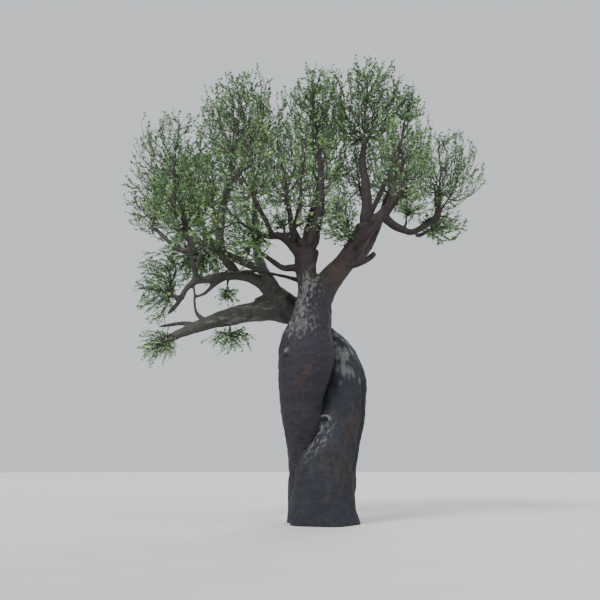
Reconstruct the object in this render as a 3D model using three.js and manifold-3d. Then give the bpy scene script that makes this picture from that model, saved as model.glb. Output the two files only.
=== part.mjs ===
// A twin-stemmed baobab: two swollen trunks that wind round each other from one foot, the boughs that
// spring from their heads, and the masses of foliage at the boughs' tips.
// Millimetres, +Z up. X runs to the right and Y to the back of the tree as it is usually seen.
// The origin is the middle of the flat cut under the rear trunk, at ground level.

import * as THREE from "three";
import { mergeVertices } from "three/addons/utils/BufferGeometryUtils.js";
import Module from "manifold-3d";

const wasm = await Module();
wasm.setup();

// Driving dimensions
const metre = 1000;
const gap = 0.6; // clear space between pieces that touch
const trunkSides = 22;
const ringsPerStation = 2; // rings of the trunk between two of its measured heights
const limbSides = 6;
const limbRingSpacing = 850;
const twigSides = 3;

// Root flare: soft buttresses that fade out upwards
const flareLobes = 5;
const flareShare = 0.06;
const flareHeight = 0.45 * metre;
const foldCount = 9; // shallow folds that wind up the trunk
const foldShare = 0.012;
const foldTwist = 0.55 / metre; // turn of the folds, radians for each millimetre of height

// Foliage: each leaf is larger than life and stands for a spray of real ones
const leafLength = 0.72 * metre;
const leafMassShare = 0.5; // a leaf is no longer than this share of its mass's mean radius
const leafWidthShare = 0.62; // width against length
const leafThicknessShare = 0.07;
const leafBellyShare = 0.45; // where a leaf is broadest, from its root
const leafTwigRadius = 26; // a twig's end, at its leaf's root, or slimmer on a slim twig
const twigRadius = 36; // at the foot of a twig with one leaf, where its carrier is thick enough
const slimmestTwig = 12;
const twigTaper = 0.85;
const fewestLeaves = 5;
const leavesPerSquareMetre = 6.5; // more of them for each square metre of a mass's mean squared radius
const outerReach = 0.985; // where most leaf tips end, as a share of the mass's radii
const innerReach = 0.72; // where every fourth leaf tip ends
const pulls = [1, 0.86, 0.7, 0.55]; // how far out a leaf's tip is tried, as shares of its first place
const shortestTwig = 1.2; // in leaf lengths, the leaf included
const spaceMargin = 0.03; // how much nearer its own mass than any other a twig stays, in shares of the radii
const stemShare = 0.6; // a stem's length against its mass's mean radius
const stemBareShare = 0.35; // the stem's share next to its bough that bears no twig
const stemTaper = 0.8;
const twigBareShare = 0.15;
const forkEnd = 0.85; // the furthest along a twig that another springs from it, as a share of its length
const forkSlope = 0.8; // how far short of the nearest point a twig springs, for each unit aside
const mostLevels = 2; // twigs spring from the stem or from a twig on the stem
const levelCost = 0.25 * metre; // how much that counts against a branching point on a twig
const pathWeight = 0.35; // how much a long way back to the stem counts against a branching point
const branchExponent = 0.45; // a twig's radius grows with the leaves it feeds, to this power
const sideTwigShare = 0.48; // a side twig's radius against its carrier's, at the most
const limbSamples = 20; // places along a limb where a twig's distance from it is taken
const limbClearance = 25; // least space between a twig or leaf and a limb
const entryShare = 0.86; // boughs end this far out in the mass they enter

// Colours
const frontBark = new THREE.MeshStandardMaterial({ color: 0x6f6a72, roughness: 0.9, metalness: 0 });
const rearBark = new THREE.MeshStandardMaterial({ color: 0x646672, roughness: 0.9, metalness: 0 });
const leafGreen = new THREE.MeshStandardMaterial({ color: 0x5c6f4a, roughness: 0.75, metalness: 0 });

// Trunks: height, x and y of the middle, and half the width there, in metres
const frontTrunk = [
  [0, -0.48, 0.8, 0.66],
  [1.0, -0.5, 0.62, 0.62],
  [1.9, -0.5, 0.3, 0.6],
  [2.8, -0.63, -0.08, 0.63],
  [3.7, -0.69, -0.36, 0.69],
  [4.6, -0.58, -0.5, 0.86],
  [5.3, -0.52, -0.5, 0.885],
  [5.95, -0.47, -0.48, 0.755],
  [6.5, -0.35, -0.45, 0.64],
  [7.0, -0.27, -0.41, 0.58],
  [7.4, -0.27, -0.37, 0.5],
  [7.65, -0.3, -0.35, 0.28],
];
const rearTrunk = [
  [0, 0, 0, 1.02],
  [0.7, -0.02, 0, 0.98],
  [1.75, 0.11, 0, 0.93],
  [2.9, 0.42, 0.14, 0.86],
  [3.8, 0.57, 0.28, 0.84],
  [4.6, 0.6, 0.4, 0.82],
  [5.4, 0.4, 0.52, 0.71],
  [5.9, 0.11, 0.62, 0.65],
  [6.35, -0.33, 0.72, 0.63],
  [6.75, -0.78, 0.78, 0.65],
  [7.1, -1.12, 0.8, 0.6],
  [7.4, -1.35, 0.8, 0.48],
  [7.65, -1.5, 0.8, 0.24],
];

// Masses of foliage: the middle and the radii of the space that each keeps to, in metres
const masses = {
  right_top: { middle: [1.75, -0.2, 14.25], radii: [1.55, 1.6, 1.85] },
  right_upper: { middle: [2.95, 0.5, 12.85], radii: [1.3, 1.4, 1.75] },
  right_tip: { middle: [4.3, -0.4, 11.7], radii: [1.4, 1.4, 1.5] },
  right_low: { middle: [4.4, 1.1, 10.2], radii: [0.95, 0.8, 0.65] },
  right_inner: { middle: [1.3, 1.3, 12.25], radii: [1.1, 1.3, 1.5] },
  right_front: { middle: [2.5, -2.6, 10.7], radii: [1.0, 1.2, 1.25] },
  right_high_front: { middle: [2.6, -2.0, 11.8], radii: [1.05, 1.2, 1.25] },
  right_back: { middle: [3.1, 2.4, 13.1], radii: [1.6, 1.5, 1.9] },
  middle_top: { middle: [-0.15, -0.3, 14.0], radii: [1.0, 1.5, 1.8] },
  middle_inner: { middle: [0.1, 1.2, 11.5], radii: [1.2, 1.3, 1.7] },
  middle_left: { middle: [-1.4, 0.5, 12.1], radii: [1.1, 1.3, 1.8] },
  middle_front: { middle: [-0.5, -3.0, 10.3], radii: [1.1, 1.5, 1.9] },
  middle_back: { middle: [0.4, 2.45, 14.0], radii: [1.8, 1.6, 2.2] },
  left_dense: { middle: [-2.85, -1.0, 9.0], radii: [1.45, 1.15, 1.3] },
  left_top: { middle: [-2.75, 0.2, 14.15], radii: [1.65, 1.5, 1.8] },
  left_inner: { middle: [-4.25, 1.6, 12.15], radii: [1.3, 1.1, 1.8] },
  left_upper: { middle: [-5.2, -0.4, 12.4], radii: [1.4, 1.4, 1.5] },
  left_under: { middle: [-4.45, 0.95, 8.95], radii: [1.1, 0.9, 1.1] },
  left_tip: { middle: [-6.0, 0.4, 10.9], radii: [1.1, 1.2, 1.45] },
  left_front: { middle: [-2.55, -3.1, 10.25], radii: [1.15, 1.5, 1.9] },
  left_high_front: { middle: [-2.8, -2.0, 12.5], radii: [1.35, 1.3, 1.5] },
  left_far_front: { middle: [-4.4, -2.4, 9.6], radii: [1.05, 1.3, 1.55] },
  left_back: { middle: [-2.65, 2.5, 13.6], radii: [1.6, 1.6, 2.2] },
  left_far_back: { middle: [-5.2, 2.35, 12.4], radii: [1.4, 1.4, 1.85] },
  left_hanging: { middle: [-5.55, 0.1, 7.6], radii: [0.8, 0.9, 1.3] },
  left_low: { middle: [-5.4, 0, 5.5], radii: [0.7, 0.7, 0.65] },
  low_spray: { middle: [-3.05, 0.3, 5.8], radii: [0.95, 0.6, 0.5] },
};

// Limbs, each after what carries it. A limb starts at a place inside a trunk, or at a share of the way
// along another limb, and bends through the places given, in metres. Its radii, evenly spaced from its
// foot to its tip, are in metres too. One that feeds a mass goes on from its last bend until it enters
// that mass.
const limbs = [
  {
    name: "limb_right",
    from: [-0.2, -0.36, 6.8],
    bends: [[0.12, -0.32, 7.5], [0.78, -0.3, 8.31], [1.2, -0.25, 8.95], [1.46, -0.2, 9.6]],
    radii: [0.52, 0.42, 0.35, 0.32, 0.28],
  },
  {
    name: "limb_middle",
    from: [-0.34, -0.36, 7.0],
    bends: [[-0.48, -0.25, 7.7], [-0.54, -0.1, 8.3], [-0.48, 0, 8.8]],
    radii: [0.42, 0.34, 0.36, 0.4],
  },
  {
    name: "limb_left_low",
    from: [-0.9, 0.78, 6.8],
    bends: [[-1.5, 0.8, 6.95], [-2.1, 0.75, 6.88], [-3.0, 0.55, 6.66], [-3.97, 0.2, 6.27], [-4.75, 0, 5.9]],
    radii: [0.5, 0.4, 0.34, 0.33, 0.23, 0.18, 0.13],
    mass: "left_low",
  },
  {
    name: "limb_left_arch",
    from: [-1.15, 0.8, 7.05],
    bends: [[-1.6, 0.8, 7.5], [-2.0, 0.72, 7.85], [-2.6, 0.55, 8.08], [-3.3, 0.3, 8.04]],
    radii: [0.45, 0.34, 0.22, 0.17, 0.15],
  },
  {
    name: "bough_left_hanging",
    from: ["limb_left_arch", 1],
    bends: [[-3.79, 0.15, 7.85], [-4.29, 0.1, 7.72], [-4.6, 0.1, 7.45], [-4.76, 0.1, 7.12]],
    radii: [0.15, 0.12, 0.09, 0.08],
    mass: "left_hanging",
  },
  {
    name: "bough_left_upper",
    from: ["limb_left_arch", 0.1],
    bends: [
      [-1.88, 0.4, 8.09], [-2.79, 0.05, 8.48], [-3.3, -0.1, 8.67], [-3.96, -0.12, 8.84], [-4.47, -0.2, 9.13],
      [-4.99, -0.3, 9.75],
    ],
    radii: [0.17, 0.13, 0.12, 0.11, 0.1, 0.08],
    mass: "left_upper",
  },
  {
    name: "bough_left_tip",
    from: ["bough_left_upper", 0.56],
    bends: [[-4.83, 0, 8.84], [-5.37, 0, 9.28], [-5.85, 0.1, 9.75]],
    radii: [0.09, 0.07, 0.05],
    mass: "left_tip",
  },
  {
    name: "bough_left_top",
    from: ["limb_left_arch", 0.82],
    bends: [
      [-3.4, 0.35, 8.8], [-3.55, 0.3, 9.6], [-3.4, 0.25, 10.8], [-3.19, 0.2, 11.56], [-2.9, 0.2, 11.92],
      [-2.5, 0.2, 12.3],
    ],
    radii: [0.17, 0.15, 0.13, 0.08],
    mass: "left_top",
  },
  {
    name: "bough_left_inner",
    from: ["bough_left_top", 0.35],
    bends: [[-3.75, 0.85, 10.1]],
    radii: [0.09, 0.06],
    mass: "left_inner",
  },
  {
    name: "bough_left_high_front",
    from: ["bough_left_top", 0.6],
    bends: [[-3.2, -0.7, 10.9]],
    radii: [0.08, 0.06],
    mass: "left_high_front",
  },
  {
    name: "bough_left_far_front",
    from: ["bough_left_hanging", 0.45],
    bends: [[-4.2, -0.8, 7.95]],
    radii: [0.09, 0.06],
    mass: "left_far_front",
  },
  {
    name: "bough_left_far_back",
    from: ["limb_left_arch", 0.9],
    bends: [[-3.2, 1.6, 8.7], [-4.3, 2.5, 10.3]],
    radii: [0.12, 0.07],
    mass: "left_far_back",
  },
  {
    name: "bough_left_under",
    from: ["bough_left_upper", 0.5],
    bends: [[-3.9, 0.15, 8.8]],
    radii: [0.06, 0.05],
    mass: "left_under",
  },
  {
    name: "bough_left_back",
    from: [-1.25, 0.85, 7.2],
    bends: [[-1.85, 1.9, 8.2], [-2.4, 2.7, 9.8]],
    radii: [0.26, 0.18, 0.1],
    mass: "left_back",
  },
  {
    name: "bough_low_spray",
    from: ["limb_left_low", 0.5],
    bends: [[-3.1, 0.38, 6.45]],
    radii: [0.07, 0.045],
    mass: "low_spray",
  },
  {
    name: "bough_left_dense",
    from: ["limb_middle", 0.72],
    bends: [[-0.95, -0.1, 8.9], [-1.35, -0.2, 9.25]],
    radii: [0.18, 0.15, 0.1],
    mass: "left_dense",
  },
  {
    name: "bough_left_front",
    from: ["bough_left_dense", 0.9],
    bends: [[-1.8, -1.3, 9.3]],
    radii: [0.09, 0.06],
    mass: "left_front",
  },
  {
    name: "bough_middle_front",
    from: ["bough_left_dense", 0.45],
    bends: [[-0.95, -0.6, 9.3]],
    radii: [0.09, 0.06],
    mass: "middle_front",
  },
  {
    name: "bough_middle_left",
    from: ["limb_middle", 1],
    bends: [[-0.95, 0.3, 9.6]],
    radii: [0.15, 0.08],
    mass: "middle_left",
  },
  {
    name: "bough_middle_top",
    from: ["limb_middle", 1],
    bends: [[-0.1, -0.15, 9.9], [0, -0.3, 11.2]],
    radii: [0.17, 0.08],
    mass: "middle_top",
  },
  {
    name: "bough_middle_inner",
    from: ["limb_middle", 1],
    bends: [[-0.15, 0.65, 9.4]],
    radii: [0.13, 0.07],
    mass: "middle_inner",
  },
  {
    name: "bough_middle_back",
    from: ["limb_middle", 0.93],
    bends: [[-0.5, 1.2, 9.6], [-0.35, 2.2, 10.8]],
    radii: [0.2, 0.1],
    mass: "middle_back",
  },
  {
    name: "bough_right_top",
    from: ["limb_right", 1],
    bends: [[1.57, -0.22, 10.4], [1.55, -0.2, 11.3], [1.47, -0.2, 12.1]],
    radii: [0.21, 0.17, 0.13, 0.1],
    mass: "right_top",
  },
  {
    name: "bough_right_upper",
    from: ["limb_right", 0.98],
    bends: [[2.12, 0, 10.13], [2.48, 0, 10.58], [2.93, 0, 11.08]],
    radii: [0.27, 0.19, 0.13, 0.1],
    mass: "right_upper",
  },
  {
    name: "bough_right_tip",
    from: ["bough_right_upper", 0.35],
    bends: [[2.72, 0.2, 9.72], [3.17, 0.2, 9.58], [3.63, 0.15, 9.8], [4.05, 0.1, 10.0]],
    radii: [0.16, 0.12, 0.09, 0.07],
    mass: "right_tip",
  },
  {
    name: "bough_right_low",
    from: ["bough_right_tip", 0.5],
    bends: [[3.45, 0.6, 9.6]],
    radii: [0.06, 0.045],
    mass: "right_low",
  },
  {
    name: "bough_right_inner",
    from: ["bough_right_top", 0.3],
    bends: [[1.6, 0.4, 10.7]],
    radii: [0.09, 0.06],
    mass: "right_inner",
  },
  {
    name: "bough_right_high_front",
    from: ["limb_right", 0.95],
    bends: [[1.8, -0.8, 10.2]],
    radii: [0.1, 0.07],
    mass: "right_high_front",
  },
  {
    name: "bough_right_stub",
    from: ["limb_right", 0.5],
    bends: [[1.2, -0.5, 8.18], [1.5, -0.65, 8.28], [1.74, -0.75, 8.47]],
    radii: [0.12, 0.11, 0.09, 0.07],
  },
  {
    name: "bough_right_front",
    from: ["limb_right", 0.7],
    bends: [[1.3, -1.1, 8.75], [1.85, -1.75, 9.25]],
    radii: [0.13, 0.09, 0.07],
    mass: "right_front",
  },
  {
    name: "bough_right_back",
    from: ["limb_right", 0.55],
    bends: [[1.3, 0.5, 8.7], [2.1, 1.85, 10.2]],
    radii: [0.19, 0.1],
    mass: "right_back",
  },
];

const place = (metres) => new THREE.Vector3(...metres).multiplyScalar(metre);

// A repeatable stream of numbers between 0 and 1
function seededRandom(seed) {
  let state = seed;
  return () => {
    state = (state + 0x6d2b79f5) | 0;
    let mixed = Math.imul(state ^ (state >>> 15), 1 | state);
    mixed = (mixed + Math.imul(mixed ^ (mixed >>> 7), 61 | mixed)) ^ mixed;
    return ((mixed ^ (mixed >>> 14)) >>> 0) / 4294967296;
  };
}

// Turns a closed geometry into a solid that can be joined and cut
function solidOf(geometry) {
  geometry.deleteAttribute("normal");
  geometry.deleteAttribute("uv");
  const merged = mergeVertices(geometry);
  return new wasm.Manifold(new wasm.Mesh({
    numProp: 3,
    vertProperties: merged.getAttribute("position").array,
    triVerts: new Uint32Array(merged.index.array),
  }));
}

// Of the loose bodies of a solid, the largest: scraps and sealed hollows go
function largestBody(solid) {
  return solid.decompose().reduce((best, body) => (body.volume() > best.volume() ? body : best));
}

function meshOf(name, solid, material) {
  const { vertProperties, triVerts } = solid.getMesh();
  const geometry = new THREE.BufferGeometry();
  geometry.setAttribute("position", new THREE.BufferAttribute(vertProperties, 3));
  geometry.setIndex(new THREE.BufferAttribute(triVerts, 1));
  geometry.computeVertexNormals();
  const mesh = new THREE.Mesh(geometry, material);
  mesh.name = name;
  return mesh;
}

// Bends a closed cylinder or cone of unit size: put(x, share, z) gives each of its points a new place,
// share running from 0 at its foot to 1 at its top. Rounding makes both sides of its seam meet.
function bend(shape, put) {
  const clean = (value) => Math.round(value * 1e6) / 1e6;
  const points = shape.getAttribute("position");
  for (let i = 0; i < points.count; i += 1) {
    const spot = put(clean(points.getX(i)), clean(points.getY(i) + 0.5), clean(points.getZ(i)));
    points.setXYZ(i, spot.x, spot.y, spot.z);
  }
  return solidOf(shape);
}

// Which way a piece that is grown gets longer: back at its foot, on at its tip, and not in between
const endGrow = (share) => (share === 1 ? 1 : 0) - (share === 0 ? 1 : 0);

// A trunk of level sections, so that its foot is a flat cut
function trunkSolid(stations, grow = 0) {
  const middles = new THREE.CatmullRomCurve3(
    stations.map(([height, x, y]) => place([x, y, height])), false, "catmullrom");
  const widths = new THREE.CatmullRomCurve3(
    stations.map(([, , , halfWidth]) => place([halfWidth, 0, 0])), false, "catmullrom");
  const shape = new THREE.CylinderGeometry(1, 1, 1, trunkSides, (stations.length - 1) * ringsPerStation);
  return bend(shape, (x, share, z) => {
    const middle = middles.getPoint(share);
    const turn = Math.atan2(z, x);
    const flare = flareShare * Math.exp(-middle.z / flareHeight) * (1 + Math.cos(flareLobes * turn));
    const fold = foldShare * Math.cos(foldCount * turn + foldTwist * middle.z * foldCount);
    const radius = widths.getPoint(share).x * (1 + flare + fold) + grow;
    return new THREE.Vector3(middle.x + x * radius, middle.y - z * radius, middle.z + endGrow(share) * grow);
  });
}

// How far out a point lies in a mass: 0 in the middle, 1 on its skin
function shareOut(point, mass) {
  return Math.hypot(...["x", "y", "z"].map((axis) => (point[axis] - mass.middle[axis]) / mass.radii[axis]));
}

// The masses in millimetres, each with its mean radius and the size of its leaves
const crown = Object.fromEntries(Object.entries(masses).map(([name, mass]) => {
  const [x, y, z] = mass.radii;
  const meanRadius = Math.sqrt((x * y + y * z + x * z) / 3) * metre;
  const length = Math.min(leafLength, leafMassShare * meanRadius);
  const leaf = { length, width: length * leafWidthShare, thickness: length * leafThicknessShare };
  return [name, { middle: place(mass.middle), radii: place(mass.radii), meanRadius, leaf }];
}));

// Where a line from outside a mass to its middle comes in
function entryPoint(outside, mass) {
  const share = shareOut(outside, mass);
  return mass.middle.clone().lerp(outside, entryShare / share);
}

// The value at a share of the way along a row of evenly spaced ones
function spread(values, share) {
  const spot = share * (values.length - 1);
  const before = Math.min(Math.floor(spot), values.length - 2);
  return THREE.MathUtils.lerp(values[before], values[before + 1], spot - before);
}

const routes = {}; // each limb's middle line, radii and bark, by name

// The head of the front trunk lies in front of y = 0 and that of the rear trunk behind it
function layOutLimb({ name, from, bends, radii, mass }) {
  const carrier = routes[from[0]];
  const points = [carrier ? carrier.line.getPointAt(from[1]) : place(from), ...bends.map(place)];
  if (mass) points.push(entryPoint(points[points.length - 1], crown[mass]));
  const line = new THREE.CatmullRomCurve3(points);
  const bark = carrier ? carrier.bark : (from[1] < 0 ? frontBark : rearBark);
  routes[name] = { line, mass, bark, radiusAt: (share) => spread(radii, share) * metre };
}

function limbSolid({ line, radiusAt }, grow = 0) {
  const rings = Math.max(2, Math.ceil(line.getLength() / limbRingSpacing));
  const { tangents, normals, binormals } = line.computeFrenetFrames(rings);
  return bend(new THREE.CylinderGeometry(1, 1, 1, limbSides, rings), (x, share, z) => {
    const ring = Math.round(share * rings);
    const radius = radiusAt(share) + grow;
    return line.getPointAt(share)
      .addScaledVector(tangents[ring], endGrow(share) * grow)
      .addScaledVector(normals[ring], x * radius)
      .addScaledVector(binormals[ring], -z * radius);
  });
}

function boxesMeet(a, b) {
  const one = a.boundingBox();
  const two = b.boundingBox();
  return [0, 1, 2].every((axis) => one.min[axis] < two.max[axis] && two.min[axis] < one.max[axis]);
}

// Cuts a solid clear of those made before it
function cutClear(solid, others) {
  const near = others.filter((other) => boxesMeet(solid, other));
  return largestBody(near.reduce((left, other) => left.subtract(other), solid));
}

// Whether a point is in a mass's own space: inside its skin and nearer to it than to any other mass
function inOwnSpace(point, mass) {
  const own = shareOut(point, mass);
  return own < 1 && Object.values(crown).every((other) =>
    other === mass || shareOut(point, other) > own + spaceMargin);
}

// Points along every limb, for twigs to keep clear of. The tip that carries the twigs is left out.
function limbPoints(ownBough) {
  return Object.values(routes).flatMap((route) =>
    Array.from({ length: limbSamples + 1 }, (_, i) => i / limbSamples)
      .filter((share) => route !== ownBough || share < 1)
      .map((share) => ({ point: route.line.getPointAt(share), radius: route.radiusAt(share) })));
}

// Whether a straight piece stays in its mass's space and clear of every limb
function isFree(start, end, radius, mass, obstacles) {
  const samples = 4;
  for (let i = 1; i <= samples; i += 1) {
    if (!inOwnSpace(start.clone().lerp(end, i / samples), mass)) return false;
  }
  const segment = new THREE.Line3(start, end);
  return obstacles.every((obstacle) => {
    const nearest = segment.closestPointToPoint(obstacle.point, true, new THREE.Vector3());
    return nearest.distanceTo(obstacle.point) > obstacle.radius + radius + limbClearance;
  });
}

// Even places for leaf tips over a mass, most of them on its skin
function leafTips(mass) {
  const count = Math.round(fewestLeaves + leavesPerSquareMetre * (mass.meanRadius / metre) ** 2);
  const goldenTurn = Math.PI * (3 - Math.sqrt(5));
  return Array.from({ length: count }, (_, i) => {
    const height = 1 - (2 * i + 1) / count;
    const ring = Math.sqrt(1 - height * height);
    const reach = i % 4 === 3 ? innerReach : outerReach;
    return new THREE.Vector3(ring * Math.cos(i * goldenTurn), ring * Math.sin(i * goldenTurn), height)
      .multiply(mass.radii).multiplyScalar(reach).add(mass.middle);
  });
}

// Where a twig to a leaf's tip would spring from a carrying twig: short of the nearest point, so that
// it leaves at an acute angle
function springFrom(twig, tip) {
  const length = twig.start.distanceTo(twig.end);
  const along = twig.end.clone().sub(twig.start).divideScalar(length);
  const ahead = tip.clone().sub(twig.start).dot(along);
  const aside = twig.start.clone().addScaledVector(along, ahead).distanceTo(tip);
  const reach = THREE.MathUtils.clamp(ahead - aside * forkSlope, length * twig.bare, length * forkEnd);
  const start = twig.start.clone().addScaledVector(along, reach);
  const path = twig.path + reach;
  const cost = start.distanceTo(tip) + pathWeight * path + levelCost * twig.level;
  return { twig, start, path, share: reach / length, cost };
}

// A twig from one of those grown so far to a leaf's tip, or nothing where it has no room
function twigTo(tip, twigs, mass, obstacles, random) {
  const spring = twigs.filter((twig) => twig.level < mostLevels)
    .map((twig) => springFrom(twig, tip))
    .reduce((best, other) => (other.cost < best.cost ? other : best));
  const along = tip.clone().sub(spring.start);
  const length = along.length();
  const broad = new THREE.Vector3(random() - 0.5, random() - 0.5, random() - 0.5).cross(along).normalize();
  const { leaf } = mass;
  if (length < leaf.length * shortestTwig) return undefined;
  along.divideScalar(length);
  const root = tip.clone().addScaledVector(along, -leaf.length);
  const belly = root.clone().lerp(tip, leafBellyShare);
  const side = broad.clone().multiplyScalar(leaf.width / 2);
  const free = isFree(spring.start, root, leafTwigRadius, mass, obstacles)
    && isFree(root, tip, leaf.thickness, mass, obstacles)
    && isFree(belly.clone().sub(side), belly.clone().add(side), leaf.thickness, mass, obstacles);
  if (!free) return undefined;
  return { start: spring.start, end: root, path: spring.path, bare: twigBareShare,
    level: spring.twig.level + 1, carrier: spring.twig, share: spring.share, along, broad, leaf };
}

// Grows the twigs of a mass from its bough's tip, farthest leaf first. A leaf that has no room is
// tried nearer the middle, and then skipped.
function growTwigs(mass, bough, random) {
  const tangent = bough.line.getTangentAt(1);
  const foot = bough.line.getPointAt(1).addScaledVector(tangent, gap);
  const top = foot.clone().addScaledVector(tangent, mass.meanRadius * stemShare);
  const twigs = [{ start: foot, end: top, path: 0, bare: stemBareShare, level: 0, feeds: 0 }];
  const obstacles = limbPoints(bough);
  const tips = leafTips(mass).sort((a, b) => b.distanceTo(top) - a.distanceTo(top));
  for (const tip of tips) {
    const tries = pulls.map((pull) => mass.middle.clone().lerp(tip, pull));
    const twig = tries.map((place) => twigTo(place, twigs, mass, obstacles, random)).find(Boolean);
    if (!twig) continue;
    twigs.push({ ...twig, feeds: 0 });
    for (let carrier = twigs[twigs.length - 1]; carrier; carrier = carrier.carrier) carrier.feeds += 1;
  }
  return twigs;
}

// Radii at both ends of each twig: they grow with the leaves that it feeds, and its foot is slim enough
// to lie inside what carries it
function setRadii(twigs, stemRadius) {
  for (const twig of twigs) {
    const { carrier, share } = twig;
    if (!carrier) {
      twig.startRadius = stemRadius;
      twig.endRadius = stemRadius * stemTaper;
      continue;
    }
    const wanted = Math.max(twigRadius, stemRadius * (twig.feeds / twigs[0].feeds) ** branchExponent);
    const room = sideTwigShare * THREE.MathUtils.lerp(carrier.startRadius, carrier.endRadius, share);
    twig.startRadius = Math.max(slimmestTwig, Math.min(wanted, room));
    twig.endRadius = Math.min(leafTwigRadius, twig.startRadius * twigTaper);
  }
}

// The stem of a mass: a three-sided bar that goes on from its bough's tip
function stemSolid({ start, end, startRadius, endRadius }) {
  const along = end.clone().sub(start).normalize();
  const broad = new THREE.Vector3(1, 0, 0).cross(along).normalize();
  const thin = new THREE.Vector3().crossVectors(broad, along);
  return bend(new THREE.CylinderGeometry(1, 1, 1, twigSides, 1), (x, share, z) => {
    const radius = THREE.MathUtils.lerp(startRadius, endRadius, share);
    return start.clone().lerp(end, share)
      .addScaledVector(broad, x * radius)
      .addScaledVector(thin, z * radius);
  });
}

// A twig and its leaf in one: a three-sided spike whose rings are the twig's foot, the leaf's root, the
// leaf's broadest place and its tip. The leaf is flat below, with a keel on top as high as it is thick.
function sprigSolid({ start, end, along, broad, startRadius, endRadius, leaf }) {
  const thin = new THREE.Vector3().crossVectors(broad, along);
  const tip = end.clone().addScaledVector(along, leaf.length);
  const rings = [
    { at: start, across: startRadius, up: startRadius },
    { at: end, across: endRadius, up: endRadius },
    { at: end.clone().lerp(tip, leafBellyShare), across: leaf.width / 2, up: leaf.thickness },
    { at: tip, across: 0, up: 0 },
  ];
  const last = rings.length - 1;
  return bend(new THREE.ConeGeometry(1, 1, twigSides, last), (x, share, z) => {
    const { at, across, up } = rings[Math.round(share * last)];
    const unit = Math.hypot(x, z) || 1;
    return at.clone()
      .addScaledVector(broad, (x / unit) * across)
      .addScaledVector(thin, (z / unit) * up);
  });
}

// All of a mass in one solid
function massSolid(mass, bough, seed) {
  const twigs = growTwigs(mass, bough, seededRandom(seed));
  setRadii(twigs, bough.radiusAt(1));
  return largestBody(wasm.Manifold.union([stemSolid(twigs[0]), ...twigs.slice(1).map(sprigSolid)]));
}

const tree = new THREE.Group();

const front = trunkSolid(frontTrunk);
const rear = largestBody(trunkSolid(rearTrunk).subtract(trunkSolid(frontTrunk, gap)));
tree.add(meshOf("trunk_front", front, frontBark), meshOf("trunk_rear", rear, rearBark));

limbs.forEach(layOutLimb);
const grown = [trunkSolid(frontTrunk, gap), trunkSolid(rearTrunk, gap)];
for (const [name, route] of Object.entries(routes)) {
  tree.add(meshOf(name, cutClear(limbSolid(route), grown), route.bark));
  grown.push(limbSolid(route, gap));
}

Object.entries(routes).filter(([, route]) => route.mass).forEach(([, route], i) => {
  const solid = massSolid(crown[route.mass], route, i + 1);
  tree.add(meshOf(`foliage_${route.mass}`, solid, leafGreen));
});

export default tree;
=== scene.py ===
# The looks of a twin-stemmed baobab: bark with its relief on trunks and boughs, and a crown of fine twigs
# and palmate leaves, grown from the same boughs by the same rule as the solids. Metres, +Z up.
import math

import bmesh
import bpy
import numpy as np
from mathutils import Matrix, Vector, kdtree, noise


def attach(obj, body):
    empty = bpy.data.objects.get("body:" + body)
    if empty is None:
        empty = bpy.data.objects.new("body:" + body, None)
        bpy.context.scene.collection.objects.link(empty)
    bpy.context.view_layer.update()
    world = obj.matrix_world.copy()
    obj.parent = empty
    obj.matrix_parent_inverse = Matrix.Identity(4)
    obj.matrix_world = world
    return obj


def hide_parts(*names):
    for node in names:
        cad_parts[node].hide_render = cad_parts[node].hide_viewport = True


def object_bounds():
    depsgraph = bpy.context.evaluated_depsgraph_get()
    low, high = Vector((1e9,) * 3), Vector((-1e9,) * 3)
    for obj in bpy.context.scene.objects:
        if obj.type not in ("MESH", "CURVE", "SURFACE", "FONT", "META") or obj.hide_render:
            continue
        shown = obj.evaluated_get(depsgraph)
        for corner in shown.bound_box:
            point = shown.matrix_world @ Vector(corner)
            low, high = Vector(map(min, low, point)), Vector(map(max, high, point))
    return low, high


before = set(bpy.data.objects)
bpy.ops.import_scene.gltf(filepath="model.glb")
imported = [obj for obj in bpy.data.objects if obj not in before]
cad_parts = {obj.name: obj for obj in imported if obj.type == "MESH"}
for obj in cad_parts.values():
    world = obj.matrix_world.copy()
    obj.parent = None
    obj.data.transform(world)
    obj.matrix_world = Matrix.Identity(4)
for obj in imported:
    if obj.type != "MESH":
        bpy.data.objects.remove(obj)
cad_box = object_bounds()

# Camera: where the eye is, the upward pitch and the lens, all found from the photograph
CAMERA_PLACE = (-0.73, -20.0, 1.6)
CAMERA_PITCH = math.radians(15.3)
SENSOR_WIDTH = 36.0
LENS = 37.2

# Trunks: height, x and y of the middle, and half the width there
FRONT_TRUNK = [
    (0, -0.48, 0.8, 0.66),
    (1.0, -0.5, 0.62, 0.62),
    (1.9, -0.5, 0.3, 0.6),
    (2.8, -0.63, -0.08, 0.63),
    (3.7, -0.69, -0.36, 0.69),
    (4.6, -0.58, -0.5, 0.86),
    (5.3, -0.52, -0.5, 0.885),
    (5.95, -0.47, -0.48, 0.755),
    (6.5, -0.35, -0.45, 0.64),
    (7.0, -0.27, -0.41, 0.58),
    (7.4, -0.27, -0.37, 0.5),
    (7.65, -0.3, -0.35, 0.28),
]
REAR_TRUNK = [
    (0, 0, 0, 1.02),
    (0.7, -0.02, 0, 0.98),
    (1.75, 0.11, 0, 0.93),
    (2.9, 0.42, 0.14, 0.86),
    (3.8, 0.57, 0.28, 0.84),
    (4.6, 0.6, 0.4, 0.82),
    (5.4, 0.4, 0.52, 0.71),
    (5.9, 0.11, 0.62, 0.65),
    (6.35, -0.33, 0.72, 0.63),
    (6.75, -0.78, 0.78, 0.65),
    (7.1, -1.12, 0.8, 0.6),
    (7.4, -1.35, 0.8, 0.48),
    (7.65, -1.5, 0.8, 0.24),
]

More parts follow.
